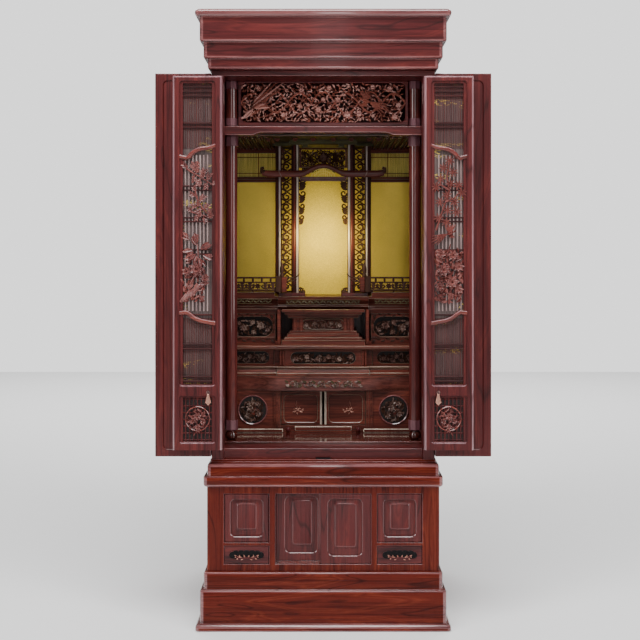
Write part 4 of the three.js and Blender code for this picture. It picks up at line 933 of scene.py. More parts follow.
foliage(peonies, (x0 + 4, x1 - 4, z0 - 16, z1 - 4), in_peony_panel, y0 + 3, 7.2, 9.0, 5, deep=3.0, sprigs=4,
        pale=0.15)
for x, dz, r in ((0, 0, 17), (-36, -6, 11), (36, -6, 11), (-55, 12, 8), (55, 12, 8)):
    bloom(peonies, x, y0 + 3, cz + dz, r, x, int(x == 0))
for swing in (-14, 14):
    stem(peonies, vine(x0 + 5, x1 - 5, cz, swing, 2.5), 2.0, y=y0 + 5)
peonies.mounted("peony_panel_carving", DARK_CARVED)

# The arched beam is one bent rail, round in section, whose dark tips curl up; bands are
# strapped round it and a small fan lattice fills the arch.
x0, x1, y0, y1, z0, z1 = span("arch_beam")
beam = Work()
ARCH_LINE = ((-176, 1222, 8.5), (-160, 1218.5, 9.8), (-120, 1218.2, 10), (-72, 1218.2, 10), (-56, 1220, 9),
             (-44, 1226, 7.6), (-30, 1234, 6.8), (-16, 1239, 6.6), (0, 1240.5, 6.6))
line = ARCH_LINE + tuple((-x, z, r) for x, z, r in reversed(ARCH_LINE[:-1]))
rings = []
for i, (px, pz, reach) in enumerate(line):
    ax, az, _ = line[max(0, i - 1)]
    bx, bz, _ = line[min(len(line) - 1, i + 1)]
    size = hypot(bx - ax, bz - az)
    nx, nz = -(bz - az) / size, (bx - ax) / size
    rings.append([(px + nx * reach * cos(a), (y0 + y1) / 2 + 7.0 * sin(a), pz + nz * reach * cos(a))
                  for a in [k / 24 * 2 * pi for k in range(24)]])
beam.loft(rings, 0)
for way in (-1, 1):
    stem(beam, [(way * 170, 1222), (way * 179, 1226), (way * 179, 1234), (way * 172, 1236)], (8, 4), 2, 12,
         (y0 + y1) / 2)
    stem(beam, [(way * 130, 1228.5), (way * 121, 1208.5)], 1.6, 1, 8, y0 + 0.8)
# Their front arrises, tone 1, take the pale carved finish: a painted highlight.
beam.bar(-69, 69, y0 + 3, y1 - 1, 1203, 1209.5, 0.9, 0, 1)
beam.bar(-66, 66, y0 + 5, y1 - 1, 1197, 1202.5, 0.9, 0, 1)
ARCH_WOOD = rosewood("arch_rosewood", "x", (0.05, 0.011, 0.008), (0.1, 0.022, 0.016), (0.145, 0.032, 0.024),
                     0.35, 0.1, 0.15)
beam.fitted("arch_beam_rail", [ARCH_WOOD, DARK_CARVED[1], DARK_CARVED[0]], "arch_beam", radians(50))
fan = Work()
for k in range(-5, 6):
    stem(fan, [(k * 6.0, 1209), (k * 6.6, 1235 - abs(k) * 3.4)], 0.9, 0, 6, (y0 + y1) / 2)
for reach in (34, 24, 14):
    stem(fan, [(reach * cos(a), 1209 + reach * 0.72 * sin(a)) for a in [i / 12 * pi for i in range(13)]],
         0.8, 0, 6, (y0 + y1) / 2)
fan.mounted("arch_fan_lattice", [REED])

# Railings on both sides of the upper deck: bars between posts with a pierced frieze,
# a turned finial at the inner post and short upturned returns.
for side, sign in SIDES.items():
    x0, x1, y0, y1, z0, z1 = span("railing_left")
    middle = (y0 + y1) / 2
    rail = Work()
    post = -139.5
    for low, high in ((z0 + 4.5, z0 + 9), (z0 + 27, z0 + 31), (z0 + 40, z0 + 45)):
        rail.bar(x0, post, y0 + 2.4, y1 - 2.4, low, high, 1.2)
    for x in (-258, -232, -205.5, -179.5, -153.5):
        rail.bar(x - 3, x + 3, y0 + 3, y1 - 3, z0 + 30, z0 + 41, 2)
    for x in (x0 + 3, -205.5, post - 3):
        rail.bar(x - 2.5, x + 2.5, y0 + 3, y1 - 3, z0, z0 + 5.5, 1)
    rail.bar(post, -122, y0 + 1, y1 - 1, z0, z0 + 46, 1.5)
    rail.bar(-121.5, -107, y0 + 0.4, y1 - 0.4, z0, z0 + 45, 1.5, 1)
    stem(rail, [(-137, z0 + 45), (-122, z0 + 45)], 2.4, 0, 8, middle)
    rings = [(6.2, 44), (6.2, 50), (3.8, 53), (3.8, 55), (5.8, 59), (6.3, 65), (5.4, 73), (3.6, 80),
             (1.6, 86), (0.3, 88)]
    spun(rail, -120.7, middle, [(r, z0 + rise) for r, rise in rings], 0, 16)
    for path in ([(-108, 42), (-92, 42), (-80, 44), (-73, 49), (-70, 55)],
                 [(-108, 32), (-96, 32), (-86, 33), (-78, 37)],
                 [(-108, 12), (-98, 22), (-90, 14), (-82, 22)]):
        stem(rail, moved(path, 0, z0), (2.6, 1.8), 0, 6, middle)
    frieze = Work()
    for x in (-258, -236, -214, -169, -147):
        for way in (-1, 1):
            stem(frieze, curl(x + way * 5.5, z0 + 18, 9.5, pi / 2, way * 1.1, 12), (3.0, 1.9), y=middle)
        leaf(frieze, x, middle - 1.5, z0 + 8, 19, 9, pi / 2, 0, 1.8)
        leaf(frieze, x + 11, middle - 1.5, z0 + 27, 18, 7, -pi / 2, 0, 1.8)
        for way in (-1, 1):
            leaf(frieze, x + way * 4, middle - 1.0, z0 + 12, 12, 5, pi / 2 - way * 1.1, 0, 1.4)
    bloom(frieze, -191.4, middle, z0 + 18, 9.5, 0, 0)
    rail_finish = [DARK_CARVED[0], SHRINE_WOOD]
    rail.sided(sign).fitted(f"railing_{side}_bars", rail_finish, f"railing_{side}", radians(40))
    frieze.sided(sign).mounted(f"railing_{side}_frieze", DARK_CARVED)

# Upper platform and altar pedestal: stepped boards with moulded fronts, a waist with
# pilasters and an oval carved field in the middle.
PLATFORM_WOOD = rosewood("platform_rosewood", "x", (0.028, 0.007, 0.004), (0.058, 0.012, 0.007),
                         (0.09, 0.018, 0.01), 0.4, 0.0, 0.12)
OLIVE = rosewood("olive_toned_carving", "x", (0.035, 0.024, 0.011), (0.065, 0.048, 0.022),
                 (0.1, 0.076, 0.036), 0.42, 0.1, 0.15)
dress("upper_platform", [PLATFORM_WOOD, SHRINE_EDGE], easing=1.6)
scrollwork = Work()
for left, right, y, low, high in ((-108, 108, 40, 839, 851), (-272, -150, 52, 840.5, 852.5),
                                  (150, 272, 52, 840.5, 852.5)):
    count = round((right - left) / 9.0)
    middle = (low + high) / 2
    for k in range(count):
        x = left + (k + 0.5) * (right - left) / count
        up = 1 if k % 2 else -1
        leaf(scrollwork, x - 5, y - 0.2, middle - up * 2, 10, 5.0, up * 0.5, 0.03, 1.0)
        leaf(scrollwork, x + 4, y - 0.2, middle + up * 3, 6, 3.4, pi - up * 0.9, 0.03, 0.9)
    for z in (low, high):
        scrollwork.bar(left, right, y - 0.9, y + 1, z - 0.9, z + 0.9, 0.5)
scrollwork.mounted("platform_scrollwork", [OLIVE])


def cartouche(work, carve, x0, x1, z0, z1, y, seed, blooms, border=2.2, size=11.0):
    """A long field with round ends: a raised bead round it and carving within."""
    r = (z1 - z0) / 2 - 0.2
    rings = ((border, 1, 0), (border, -1, 1), (border / 2, -1.8, 1), (0, -1, 1), (0, 1, 0))
    work.stages([(rounded(*wider((x0, x1, z0, z1), wide), r + wide, y + depth, 10), tone)
                 for wide, depth, tone in rings], around=True)
    zm = (z0 + z1) / 2

    def inside(x, z):
        dx = max(0.0, abs(x - (x0 + x1) / 2) - ((x1 - x0) / 2 - r))
        return hypot(dx, z - zm) < r * 1.02

    foliage(carve, (x0, x1, z0, z1), inside, y - 1.0, size * 0.8, size, seed, deep=1.4)
    for k in range(blooms):
        x = x0 + (k + 0.5) / blooms * (x1 - x0)
        bloom(carve, x, y - 2.2, zm + (3 if k % 2 else -3), r * 0.62, k)


# A near-black board behind the openwork, standing for the shade in its voids: painted shade.
SHADE_GROUND = rosewood("painted_shade_ground", "x", (0.006, 0.004, 0.004), (0.012, 0.007, 0.006),
                  (0.02, 0.01, 0.008), 0.5, 0.1)
PEDESTAL_BOARDS = ((121, 25, 0, 14), (113, 30, 13, 22), (104, 36, 21, 32), (98, 44, 31, 40),
                   (103, 40, 78, 88), (112, 32, 87, 96), (120, 25, 95, 103))
z0, back = span("altar_pedestal")[4], span("altar_pedestal")[3]
pedestal = Work()
for half, front, low, high in PEDESTAL_BOARDS:
    pedestal.bar(-half, half, front, back, z0 + low, z0 + high, 2.0 if high == 22 else 0.9, 0, 1)
pedestal.bar(-90, 90, 52, back, z0 + 38, z0 + 80, 0.5)
for x in (-82, -64, 64, 82):
    pedestal.bar(x - 5, x + 5, 46, 60, z0 + 39, z0 + 79, 1.2)
pedestal.fitted("altar_pedestal_boards", SHRINE, "altar_pedestal")

# Side tiers beside the pedestal: a thin post and an openwork arch with peonies before
# a dark ground that is painted shade.
for side, sign in SIDES.items():
    x0, x1, y0, y1, z0, z1 = span("side_tier_left")
    wall = Work()
    end = -140
    face = y0 + 24
    a, b, c, d = x0 + 10, end - 8, z0 + 22, z1 - 22
    rim(wall, (x0, end, z0, z1 - 13), (a, b, c, d), 26, face, face + 9, 1.0)
    wall.bar(x0, end, face - 2, face + 3, z0 + 17, z0 + 20.5, 0.8, 0, 1)
    wall.bar(-134, -124, y0, y0 + 10, z0, z1, 1.2)
    wall.bar(-141, -133, y0 + 6, face + 9, z0, z0 + 10, 0.8)
    # The back board in the near-black finish is painted shade.
    wall.bar(x0 + 0.5, end - 0.5, face + 30, face + 34, z0, z1 - 13, 0.8, 2)
    flowers = Work()
    xm, zm = (a + b) / 2, (c + d) / 2

    def in_arch(x, z):
        return a < x < b and c < z < d - 4 and not (abs(x - xm) > (b - a) / 2 - 12 and z > d - 16)

    foliage(flowers, (a, b, c, d), in_arch, face + 6, 13, 13.5, 21, deep=5.0, sprigs=2)
    bunch(flowers, xm, face + 4, zm, ((-26, -4, 15), (24, 3, 16), (0, 12, 10), (-40, 10, 9), (44, -10, 10),
                                      (4, -16, 9)))
    for k in range(9):
        leaf(flowers, x0 + 10 + k * 14, face - 1.0, z0 + 12, 15, 6.5, 0.35 if k % 2 else -0.35, 0.05, 1.2)
        leaf(flowers, x0 + 8 + k * 14, face - 1.0, d + 5, 13, 6, 0.5 if k % 2 else -0.5, 0.05, 1.2)
    for way in (-1, 1):
        edge = xm + way * ((b - a) / 2 - 3)
        for k in range(4):
            leaf(flowers, edge + way * 3, face - 0.8, c + 8 + k * 14, 13, 6,
                 pi / 2 + way * (0.5 if k % 2 else -0.3), 0.05, 1.2)
    wall.sided(sign).fitted(f"side_tier_{side}_frame", [SHRINE_WOOD, SHRINE_EDGE, SHADE_GROUND],
                            f"side_tier_{side}")
    flowers.sided(sign).mounted(f"side_tier_{side}_peonies", DARK_CARVED)

# Long shelf, a board as wide as the case, and under it a row of three boards with long
# carved fields, held between pilasters.
dress("long_shelf", SHRINE, easing=0.7)
x0, x1, y0, y1, z0, z1 = span("panel_row")
row, fills, grounds = Work(), Work(), Work()
zm = (z0 + z1) / 2
PANELS = ((0, 112, 36, 0, 94, 6, 31), (-209.5, 66, 52, -213.5, 56, 3, 32),
          (209.5, 66, 52, 213.5, 56, 3, 33))
for cx, half, face, centre, reach, blooms, seed in PANELS:
    oval = (centre - reach, centre + reach, zm - 17, zm + 17)
    rim(row, (cx - half, cx + half, z0, z1), oval, 16.8, face, face + 9, 0.9, corner=0.4)
    x_low, x_high, z_low, z_high = wider(oval, 2)
    # Near-black grounds behind the ovals: painted shade.
    grounds.bar(x_low, x_high, face + 8, face + 10, z_low, z_high, 0.3)
    cartouche(row, fills, *oval, face + 2.5, seed, blooms)
for s in (-1, 1):
    for cx in (s * 115.5, s * 123.5):
        row.bar(cx - 3.4, cx + 3.4, 32, 48, z0, z1, 1.2)
    row.bar(s * 135 - 8, s * 135 + 8, 47, 58, z0, z1, 1.0, 0, 1)
row.fitted("panel_row_boards", SHRINE, "panel_row")
fills.mounted("panel_row_carving", DARK_CARVED)
grounds.mounted("panel_row_ground", [SHADE_GROUND])

# The pedestal's own oval: a rosewood bead glued round a long field of carved peonies,
# planted on the waist.
box = span("altar_pedestal")
oval_rim, oval_fill = Work(), Work()
cartouche(oval_rim, oval_fill, -60, 60, box[4] + 45, box[4] + 73, 49, 34, 5)
oval_rim.mounted("pedestal_oval_bead", SHRINE)
oval_fill.mounted("pedestal_oval_carving", DARK_CARVED)

# Moulded step, and the bowed counter under it: a rosewood board shaped to a shallow bow,
# with a strip of carving planted in the middle.
dress("moulded_step", SHRINE, easing=1.6)
COUNTER_WOOD = rosewood("counter_rosewood", "x", (0.08, 0.021, 0.014), (0.15, 0.042, 0.03),
                        (0.21, 0.058, 0.042), 0.34, 0.0, 0.3)
dress("bowed_counter", [COUNTER_WOOD, SHRINE_EDGE], easing=1.6)
box = span("bowed_counter")
strip = Work()
zm = (box[4] + box[5]) / 2
for k in range(-8, 9):
    x = k * 13.0
    y = box[2] - 0.6 + 36 * (x / 235) ** 2
    leaf(strip, x - 5, y + 3, zm - 2 + 3 * (k % 2), 17, 8, 0.45 if k % 2 else -0.45, 0.06, 1.6, 0, 1)
    leaf(strip, x + 5, y + 3, zm + 2 - 3 * (k % 2), 15, 7, pi + (0.6 if k % 2 else -0.6), 0.06, 1.5)
    if k % 3 == 0:
        bloom(strip, x, y + 3, zm, 10, k)
strip.mounted("counter_carving", [OLIVE, DARK_CARVED[1]])

# Lower inner cupboard: a case whose side panels have ringed medallions, with base rails
# and turned stops, and two small doors with a sunk field and a gilt flower.
dress("inner_cupboard", SHRINE, easing=1.2)
x0, x1, y0, y1, z0, z1 = span("inner_cupboard")
rails = Work()
for low, high, left, right in ((z0 + 0.2, z0 + 11, x0 + 0.5, -116), (z0 + 0.2, z0 + 11, 116, x1 - 0.5),
                               (z0 + 5, z0 + 18, -82, 82)):
    rails.bar(left, right, y0 - 1.2, y0 + 10, low, high, 1.8, 0, 1)
for x in (-101, 101):
    rails.loft(discs(x, z0 + 9, ((6.5, y0 + 6), (6.5, y0 + 0.5), (4.5, y0 - 1.6), (1.5, y0 - 2.4)), 20), 2)
# Pale lines on the rail arrises and the door beads: a painted highlight.
HIGHLIGHT_LINE = rosewood("painted_highlight_line", "z", (0.5, 0.43, 0.32), (0.66, 0.58, 0.45), (0.76, 0.68, 0.54), 0.3,
                    0.4)
rails.mounted("base_rails", [SHRINE_WOOD, HIGHLIGHT_LINE, WOOD_X])
for side, sign in SIDES.items():
    cx, cz = sign * 204, z0 + 63.5
    ring, fill = Work(), Work()
    face = 29.6
    ring.loft(discs(cx, cz, ((43, face), (43, face - 3), (41.5, face - 4.4), (39.5, face - 3),
                             (39.5, face)), 40), around=True)

    def in_medallion(x, z):
        return hypot(x - cx, z - cz) < 38

    foliage(fill, (cx - 38, cx + 38, cz - 38, cz + 38), in_medallion, face - 1, 10, 13, 41, deep=2.5,
            pale=0.3)
    bunch(fill, cx, face - 1.5, cz, ((-8, 6, 15), (16, -12, 12), (-16, -18, 10), (12, 18, 10)))
    # A near-black disc behind the carving: painted shade.
    ground = Work()
    ground.loft(discs(cx, cz, ((39.8, face + 0.5), (39.8, face - 0.4)), 40))
    ground.mounted(f"medallion_ground_{side}", [SHADE_GROUND])
    # The ring is all in the pale arris finish: a painted highlight.
    ring.mounted(f"medallion_ring_{side}", [EDGE_X])
    fill.mounted(f"medallion_carving_{side}", DARK_CARVED)
    box = span("cupboard_door_left")
    door = Work()
    body = [box[0], box[1], 31, box[3], box[4], box[5]]
    fielded(door, body, inset(box, 9, 14, 7, 10), 12, 4.5)
    bead(door, box[1] - 6.6, box[1] - 0.6, box[2] + 3.5, box[4] + 0.5, box[5] - 0.5, 2)
    plant = Work()
    fx, fz = (box[0] + box[1]) / 2 - 12, (box[4] + box[5]) / 2 - 4
    for x, z, turn, size in ((0, 0, 0.3, 9), (0, 0, 2.7, 10), (-4, -6, 3.6, 8), (6, -5, -0.4, 10),
                             (4, 2, 1.2, 7), (-8, -2, 2.2, 7), (12, -2, 0.5, 7), (-2, -8, -1.2, 8)):
        leaf(plant, fx + x, 34.6, fz + z, size, size * 0.4, turn, 0.02, 0.8)
    stem(plant, moved([(-14, -8), (-2, -3), (10, -6), (18, -3)], fx, fz), (0.9, 0.6), y=34.8)
    stem(plant, moved([(0, 0), (-5, 12), (-2, 24)], fx, fz), (0.8, 0.5), y=34.8)
    door.sided(sign).fitted(f"cupboard_door_{side}_board", SHRINE + [HIGHLIGHT_LINE], f"cupboard_door_{side}")
    plant.sided(sign).mounted(f"cupboard_door_{side}_flower", [COPPER], f"cupboard_door_{side}")

# Outer leaves: plain rosewood doors with a long sunk field on each face, hung in pairs.
# The barrels of their hinges are dark bronze.
BRONZE = blackened("dark_bronze", (0.09, 0.045, 0.04), 0.4, (0.16, 0.09, 0.085))
OUTER_LEAF_PLAN = (-447.0, -297.5, -220.5, -194.5)
OUTER_LEAF_RUN, OUTER_HINGES = 1019.5, (0.045, 0.49, 0.89)
HINGE_FLAP = 15


def two_faced(work, box, edge, rise, r, sunk):
    """A door board with the same sunk field on its front and on its back."""
    x0, x1, y0, y1, z0, z1 = box
    f = (x0 + edge, x1 - edge, z0 + rise, z1 - rise)
    board = (x0, x1, z0, z1)
    # Its arrises, tone 1, take the paler arris finish: a painted highlight.
    half = [(rounded(*area, corner, y0 + depth, 8), tone) for area, corner, depth, tone in (
        (wider(f, -0.8), r - 0.8, sunk, 0), (f, r, 1.3, 0), (wider(f, 1.6), r + 1.6, 0, 0),
        (wider(board, -2.2), 1.5, 0, 0), (wider(board, -0.6), 2.4, 0.8, 1), (board, 3, 2.6, 1))]
    other = [([(x, y0 + y1 - y, z) for x, y, z in ring], tone) for ring, tone in reversed(half)]
    tones = [0, 0, 1, 0, 0, 0]
    work.stages(half + [(ring, tone) for (ring, _), tone in zip(other, tones)])


def hinge_set(kind, side, x, y, flap_y, run, shares, r, tall):
    """Hinges: on the turning line a barrel of three knuckles, and a flap on the door."""
    work = Work()
    knuckle = tall / 3
    for share in shares:
        z = span(f"{kind}_leaf_left")[4] + run * share
        for k in range(3):
            low, high = z + k * knuckle, z + (k + 1) * knuckle
            spun(work, x, y, [(r * 0.7, low + 0.2), (r, low + 0.8), (r, high - 0.8), (r * 0.7, high - 0.2)],
                 0, 14)
        work.bar(x - HINGE_FLAP, x, flap_y - 0.6, flap_y + 0.6, z, z + tall, 0.4)
    work.sided(SIDES[side]).mounted(f"{kind}_hinges_{side}", [BRONZE], f"{kind}_leaf_{side}", "iron")


for side, sign in SIDES.items():
    for node in ("outer_leaf_left", "outer_fold_left"):
        box = span(node)
        if node == "outer_leaf_left":
            box[:4] = OUTER_LEAF_PLAN
        leaf_board = Work()
        two_faced(leaf_board, box, 22, 20, 13, 3)
        name = node.replace("left", side)
        leaf_board.sided(sign).fitted(f"{name}_board", STANDING, name)
    hinge_set("outer", side, -297, -222.5, -220.7, OUTER_LEAF_RUN, OUTER_HINGES, 3.0, 56)

# Inner leaves: rosewood frames with two windows each, stretched silk gauze behind thin
# bars, S-shaped dividers, a ringed flower on a small grid, and, on the leaves that show,
# carved branches, peonies and a bird with a copper pull.
def gauze(name, pale, dark, flecks):
    """Silk gauze: fine upright threads, a haze of colour and woven gold flecks."""
    mat, tree, shader, coords = material(name)
    thread = noise(tree, coords, 4.0, 900.0, "z", 1.0)
    haze = noise(tree, coords, 14.0, 14.0, "z", 2.0, 0.4, 4.0)
    cloth = ramp(tree, thread, [(0.35, dark), (0.65, pale)])
    cloth = shade(tree, cloth, ramp(tree, haze, [(0.3, (0.65, 0.62, 0.62)), (0.7, (1, 1, 1))]), 0.7,
                  "MULTIPLY")
    gold = noise(tree, coords, 110.0, 420.0, "x", 1.0, 0.0, 9.0)
    where = noise(tree, coords, 26.0, 9.0, "z", 1.0, 0.0, 2.0)
    woven = reckon(tree, "MULTIPLY", ramp(tree, gold, [(0.56, (0, 0, 0)), (0.6, (1, 1, 1))]),
                   ramp(tree, where, [(0.58, (0, 0, 0)), (0.64, (1, 1, 1))]))
    surface(tree, shader, shade(tree, cloth, (*flecks, 1), woven), (thread,), 0.6, 0.8, 0.0003)
    shader.inputs["Sheen Weight"].default_value = 0.25
    return mat


SHADED_GAUZE = gauze("shaded_gauze", (0.03, 0.014, 0.013), (0.012, 0.006, 0.005), (0.02, 0.01, 0.009))
GAUZE = gauze("silk_gauze", (0.12, 0.078, 0.071), (0.04, 0.021, 0.02), (0.55, 0.38, 0.07))
PALE_BAR = rosewood("pale_lattice_bar", "z", (0.19, 0.125, 0.115), (0.29, 0.205, 0.19),
                    (0.37, 0.275, 0.255), 0.4, 0.2)
BAR_WOOD = rosewood("maroon_lattice_bar", "x", (0.02, 0.004, 0.004), (0.04, 0.008, 0.008),
                    (0.06, 0.012, 0.011), 0.4, 0.1)
# The pale arris finish of the leaves is a painted highlight along their edges and lines.
LEAF_EDGE = rosewood("rubbed_leaf_arris", "z", (0.2, 0.095, 0.1), (0.32, 0.17, 0.18), (0.38, 0.21, 0.22),
                     0.25, 0.8)
WAVE_WOOD = rosewood("divider_wood", "x", (0.09, 0.019, 0.014), (0.17, 0.036, 0.028), (0.23, 0.052, 0.036),
                     0.22, 0.4)
LEAF_FINISH = [WOOD_Z, LEAF_EDGE, BAR_WOOD, WAVE_WOOD]
# The second, paler copy marks tips and alternate leaves, and on the foremost leaves and inner petals it is
# a painted highlight.
LEAF_CARVED = [rosewood("leaf_carving", "z", (0.085, 0.02, 0.017), (0.16, 0.041, 0.034),
                        (0.22, 0.062, 0.05), 0.36, 0.3),
               rosewood("leaf_carving_tips", "z", (0.12, 0.035, 0.03), (0.2, 0.064, 0.054),
                        (0.27, 0.1, 0.085), 0.32, 0.3)]
STILE, HEAD, FOOT, STRIP = 18, 14, 18, 8.5
LOCK = 150
UPPER_R, LOWER_R = 8, 6
CROSS_BARS = (28, 40, 52, 123, 134, 288, 299, 371, 381, 455, 466, 625, 703, 714, 787, 799)
FINE_PITCH, BAR_PITCH = 4.7, 9.7
RING_R = 33
PULL_IN = 36
INNER_FOLD_PLAN, INNER_LEAF_PLAN = (-393.6, -264.6, -268.0, -246.0), (-393.6, -264.8, -245.5, -223.5)
INNER_LEAF_RUN, INNER_HINGES = 979.3, (0.077, 0.478, 0.93)

UPPER_WAVE = ((-0.02, 211), (0.1, 213), (0.19, 216), (0.26, 212), (0.33, 204), (0.42, 197), (0.52, 193),
              (0.64, 190), (0.78, 188.5), (0.9, 186), (1.02, 182))
LOWER_WAVE = ((-0.02, 621), (0.08, 620), (0.17, 618), (0.25, 622), (0.33, 628), (0.44, 635), (0.6, 641),
              (0.79, 644), (1.02, 648))


def divider(work, x0, x1, top, wave, y):
    """A curved rail between two zones of a window, rounded, with a pale line along its upper side that is a
    painted highlight.
    """
    path = [(x0 + share * (x1 - x0), top - drop) for share, drop in wave]
    stem(work, path, 5.6, 3, 18, y, 0.8)
    stem(work, [(x, z + 4.3) for x, z in path], 0.9, 1, 8, y - 2.6)


def sprig(work, x, y, z, turn, size, leaves=5):
    """A short twig with leaves at both sides and one at its end."""
    tip = (x + size * cos(turn), z + size * sin(turn))
    stem(work, [(x, z), ((x + tip[0]) / 2, (z + tip[1]) / 2), tip], (1.5, 0.8), y=y)
    for k in range(leaves):
        t = (k + 1) / leaves
        way = 1 if k % 2 else -1
        leaf(work, x + (tip[0] - x) * t, y - 0.5, z + (tip[1] - z) * t, size * 0.62, size * 0.34,
             turn + way * 0.75, 0.12, size * 0.07, 0, k % 2)


def branches_and_peony(work, x, y, top):
    """The left carving: two plum branches over a great peony that grows from a rock."""
    for path in ([(-28, -243), (-8, -256), (14, -268), (42, -287)],
                 [(-6, -302), (2, -330), (15, -348), (28, -363), (41, -362)],
                 [(-20, -354), (4, -362), (30, -370)], [(-30, -590), (-16, -540), (4, -500), (0, -440)]):
        stem(work, moved(path, x, top), (2.8, 1.5), y=y + 1)
    twigs = ((-26, -246, 2.2, 17), (-14, -252, 1.3, 22), (-4, -258, 1.5, 22), (-8, -258, -1.6, 16),
             (6, -264, 0.9, 20), (10, -268, -2.0, 18), (22, -274, 1.0, 18), (26, -278, -1.8, 16),
             (36, -284, 0.4, 14), (-5, -306, 1.9, 14), (-2, -318, 2.6, 16), (2, -328, 0.7, 18),
             (6, -336, 3.4, 18), (16, -350, 0.8, 16), (14, -348, -2.6, 16), (28, -364, 1.2, 14),
             (-12, -356, 2.6, 14), (0, -362, -1.8, 14), (16, -368, -1.2, 14))
    for dx, dz, turn, size in twigs:
        sprig(work, x + dx, y, top + dz, turn, size)
    bunch(work, x, y - 0.5, top, ((-2, -248, 8), (14, -262, 8), (2, -336, 8), (34, -366, 10), (6, -364, 8)))
    leaves = ((-34, -424, 2.4, 22), (-26, -430, 0.6, 26), (-8, -440, 1.7, 30), (4, -452, 0.3, 34),
              (-20, -456, 3.3, 28), (-10, -466, 3.9, 26), (12, -468, -0.5, 30), (2, -476, -1.4, 26),
              (-28, -482, 2.9, 18), (22, -476, 0.5, 20))
    for dx, dz, turn, size in leaves:
        px, pz = x + 0.78 * dx, top + dz
        leaf(work, px + 4, y - 1, pz, size, size * 0.5, turn, 0.1, size * 0.12, 0.1, int(size < 22))
        leaf(work, px + 6, y + 1, pz - 4, size * 0.9, size * 0.42, turn + 0.5, 0.1, size * 0.1, 0.1)
    bunch(work, x, y - 1.5, top, ((-2, -506, 22), (-28, -512, 14), (20, -530, 13)))
    field = (x - 44, x + 30, top - 594, top - 500)
    foliage(work, field, within(field), y + 1, 14, 16, 51, sprigs=2)
    for k in range(7):
        stem(work, [(x - 44 + k * 5, top - 592 + k * 3), (x - 30 + k * 7, top - 572 + k * 5),
                    (x - 12 + k * 7, top - 560 + k * 3)], (4.6, 2.4), k % 2, 6, y)


def pine_bird_and_peony(work, x, y, top):
    """The right carving: a pine bough, a bird in flight and a great peony."""
    for path in ([(-34, -404), (-16, -350), (2, -300), (-6, -262), (4, -220)],
                 [(-10, -330), (16, -318), (34, -296)], [(2, -300), (-20, -286), (-36, -280)],
                 [(0, -596), (8, -540), (-6, -480), (4, -440)]):
        stem(work, moved(path, x, top), (3.0, 1.4), y=y + 1)
    tufts = ((2, -222), (-14, -240), (10, -252), (-22, -270), (24, -286), (4, -282), (-34, -292),
             (34, -306), (-6, -312), (14, -330), (-24, -330), (-4, -352), (20, -356), (-28, -372),
             (-8, -384))
    for dx, dz in tufts:
        for k in range(8):
            leaf(work, x + dx, y - 0.5, top + dz, 15, 3.6, k * pi / 4 + dx, 0.15, 1.3)
    bird(work, x + 2, y, top - 412, 30, 1)
    bunch(work, x, y - 0.5, top, ((-22, -466, 14), (10, -470, 16), (26, -500, 15), (-14, -508, 19),
                                  (8, -540, 20), (-24, -552, 13), (26, -560, 13)))
    field = (x - 40, x + 40, top - 594, top - 448)
    foliage(work, field, within(field), y + 1, 15.5, 17, 52)


def inner_leaf_work(box):
    """The frame of one leaf and its ringed flower."""
    x0, x1, y0, y1, z0, z1 = box
    frame_work = Work()
    a, b = x0 + STILE, x1 - STILE
    lock = z0 + LOCK
    split = lock + 4
    upper = (a, b, lock + 17, z1 - HEAD)
    lower = (a, b, z0 + FOOT, lock - 8)
    rim(frame_work, (x0, x1, split, z1), upper, UPPER_R, y0, y1, 1.4, chamfer=(5, 5, 0.02, 4.5), inside=0)
    rim(frame_work, (x0, x1, z0, split), lower, LOWER_R, y0, y1, 1.4, chamfer=(5, 5, 0.5, 0.02), inside=0)
    for window, r in ((upper, UPPER_R), (lower, LOWER_R)):
        field = inset(window, STRIP, STRIP, 5, 5)
        rim(frame_work, wider(window, 1), field, r - 4, y0 + 4.5, y1 - 2, 0.8, 0, 0)
        # Pale lines along the foot of each window, in the arris finish: a painted highlight.
        for way, edge in ((-1, window[0]), (1, window[1])):
            bend = [(edge - way * (r - (r - 1) * sin(t)), window[2] + r - (r - 1) * cos(t))
                    for t in (0, 0.4, 0.8, 1.1)]
            stem(frame_work, [(edge - way * 30, window[2] + 1)] + bend, (2.0, 1.0), 1, 8, y0 + 1.8)
        stem(frame_work, [(window[0] + 29, window[2] + 1), (window[1] - 29, window[2] + 1)], 2.0, 1, 8,
             y0 + 1.8)
    for drop in CROSS_BARS:
        frame_work.bar(a + STRIP - 1, b - STRIP + 1, y0 + 6.5, y0 + 10, z1 - drop - 2, z1 - drop + 2, 0.8,
                       2)
    divider(frame_work, a, b, z1, UPPER_WAVE, y0 + 5)
    divider(frame_work, a, b, z1, LOWER_WAVE, y0 + 5)
    xm, zm = (a + b) / 2, (lower[2] + lower[3]) / 2 + 2
    ring, half = RING_R - 1.5, 1.6
    frame_work.loft(discs(xm, zm, ((ring + half, y0 + 8), (ring + half, y0 + 5), (ring, y0 + 3.8),
                                   (ring - half, y0 + 5), (ring - half, y0 + 8))), 3, around=True)
    flower = Work()

    def round_the_ring(x, z):
        return hypot(x - xm, z - zm) < 30 or abs(x - xm) < 12

    foliage(flower, (xm - 30, xm + 30, zm - 40, zm + 28), round_the_ring, y0 + 6, 10.5, 12.5, 61, deep=2.5,
            sprigs=2)
    bunch(flower, xm, y0 + 5.5, zm, ((0, 6, 12), (-14, -8, 8), (14, -9, 8), (0, -22, 9)))
    return frame_work, flower


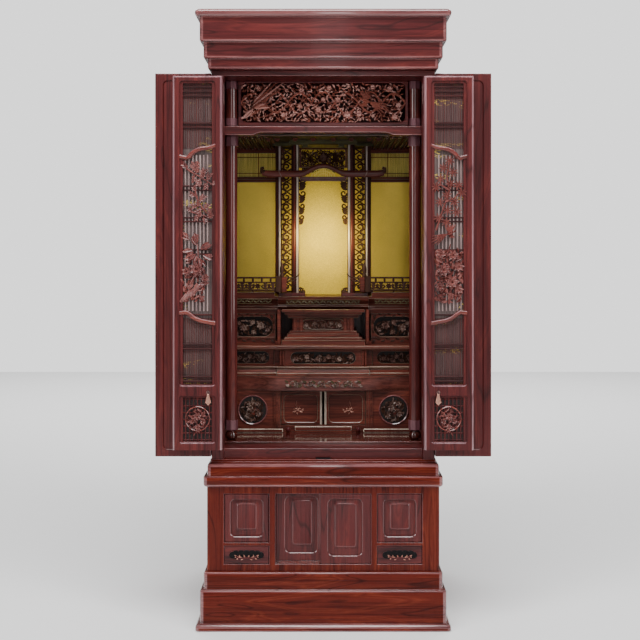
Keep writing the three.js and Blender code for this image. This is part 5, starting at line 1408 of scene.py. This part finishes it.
for side, sign in SIDES.items():
    for node in ("inner_fold_left", "inner_leaf_left"):
        box = span(node)
        name = node.replace("left", side)
        shows = node == "inner_fold_left"
        box[:4] = INNER_FOLD_PLAN if shows else INNER_LEAF_PLAN
        x0, x1, y0, y1, z0, z1 = box
        frame_work, flower = inner_leaf_work(box)
        a, b, lock = x0 + STILE, x1 - STILE, z0 + LOCK
        grid = Work()
        for k in range(9):
            x = a + (k + 0.5) * (b - a) / 9
            grid.bar(x - 1.3, x + 1.3, y0 + 7, y0 + 10, z0 + FOOT - 1, lock - 7, 0.5)
        for k in range(7):
            z = z0 + FOOT + (k + 0.5) * (LOCK - 8 - FOOT) / 7
            grid.bar(a - 1, b + 1, y0 + 7.5, y0 + 10.5, z - 1.3, z + 1.3, 0.5)
        frame_work.sided(sign).fitted(f"{name}_frame", LEAF_FINISH, name)
        flower.sided(sign).mounted(f"{name}_ring_flower", LEAF_CARVED, name)
        grid.sided(sign).mounted(f"{name}_grid", [WOOD_Z], name)
        for label, low, high, silk in (("upper", lock + 15, z1 - HEAD + 2, GAUZE),
                                       ("lower", z0 + FOOT - 2, lock - 6, SHADED_GAUZE)):
            cloth = Work()
            cloth.loft([rounded(a - 2, b + 2, low, high, 2, y) for y in (y0 + 12.6, y0 + 12.0)])
            sheet = cloth.sided(sign).mounted(f"{name}_{label}_gauze", [silk], name, "reed")
        clear = b - a - 2 * STRIP
        left = a + STRIP
        thick = Work().bar(left + 4, left + 7.6, y0 + 8.2, y0 + 11.4, z1 - 616, z1 - 206, 0.9)
        in_row(f"{name}_bars", thick.sided(sign), int((clear - 1) / BAR_PITCH), -sign * BAR_PITCH, PALE_BAR,
               name)
        for label, low, high in (("upper", z1 - 190, z1 - HEAD + 1), ("lower", lock + 16, z1 - 634)):
            thin = Work().bar(left + 1.6, left + 2.9, y0 + 9.4, y0 + 11.6, low, high, 0.3)
            in_row(f"{name}_{label}_fine_bars", thin.sided(sign), int(clear / FINE_PITCH),
                   -sign * FINE_PITCH, WOOD_Z, name)
        if shows:
            carving = Work()
            xm = (a + b) / 2
            if sign < 0:
                branches_and_peony(carving, xm, y0 + 4.5, z1)
            else:
                pine_bird_and_peony(carving, -xm, y0 + 4.5, z1)
            carving.mounted(f"{name}_carving", LEAF_CARVED, name)
            pull = Work()
            px = sign * (PULL_IN - x1)
            knob = ((5.4, y0 + 0.2), (5.0, y0 - 1.6), (2.6, y0 - 2.6), (2.2, y0 - 1.2))
            pull.loft(discs(px, lock + 1, knob, 16), 1)
            tag = moved([(-2.2, -2), (2.2, -2), (7.6, -24), (0, -32), (-7.6, -24)], px, lock)
            shrink = [(px + (x - px) * 0.8, lock - 15 + (z - lock + 15) * 0.86) for x, z in tag]
            pull.loft([[(x, y, z) for x, z in ring]
                       for ring, y in ((tag, y0 - 0.6), (tag, y0 - 2.0), (shrink, y0 - 2.9))])
            pull.mounted(f"{name}_pull", [COPPER, BRONZE], name, "iron")
    hinge_set("inner", side, -264.3, -220.5, -222.6, INNER_LEAF_RUN, INNER_HINGES, 1.8, 55)
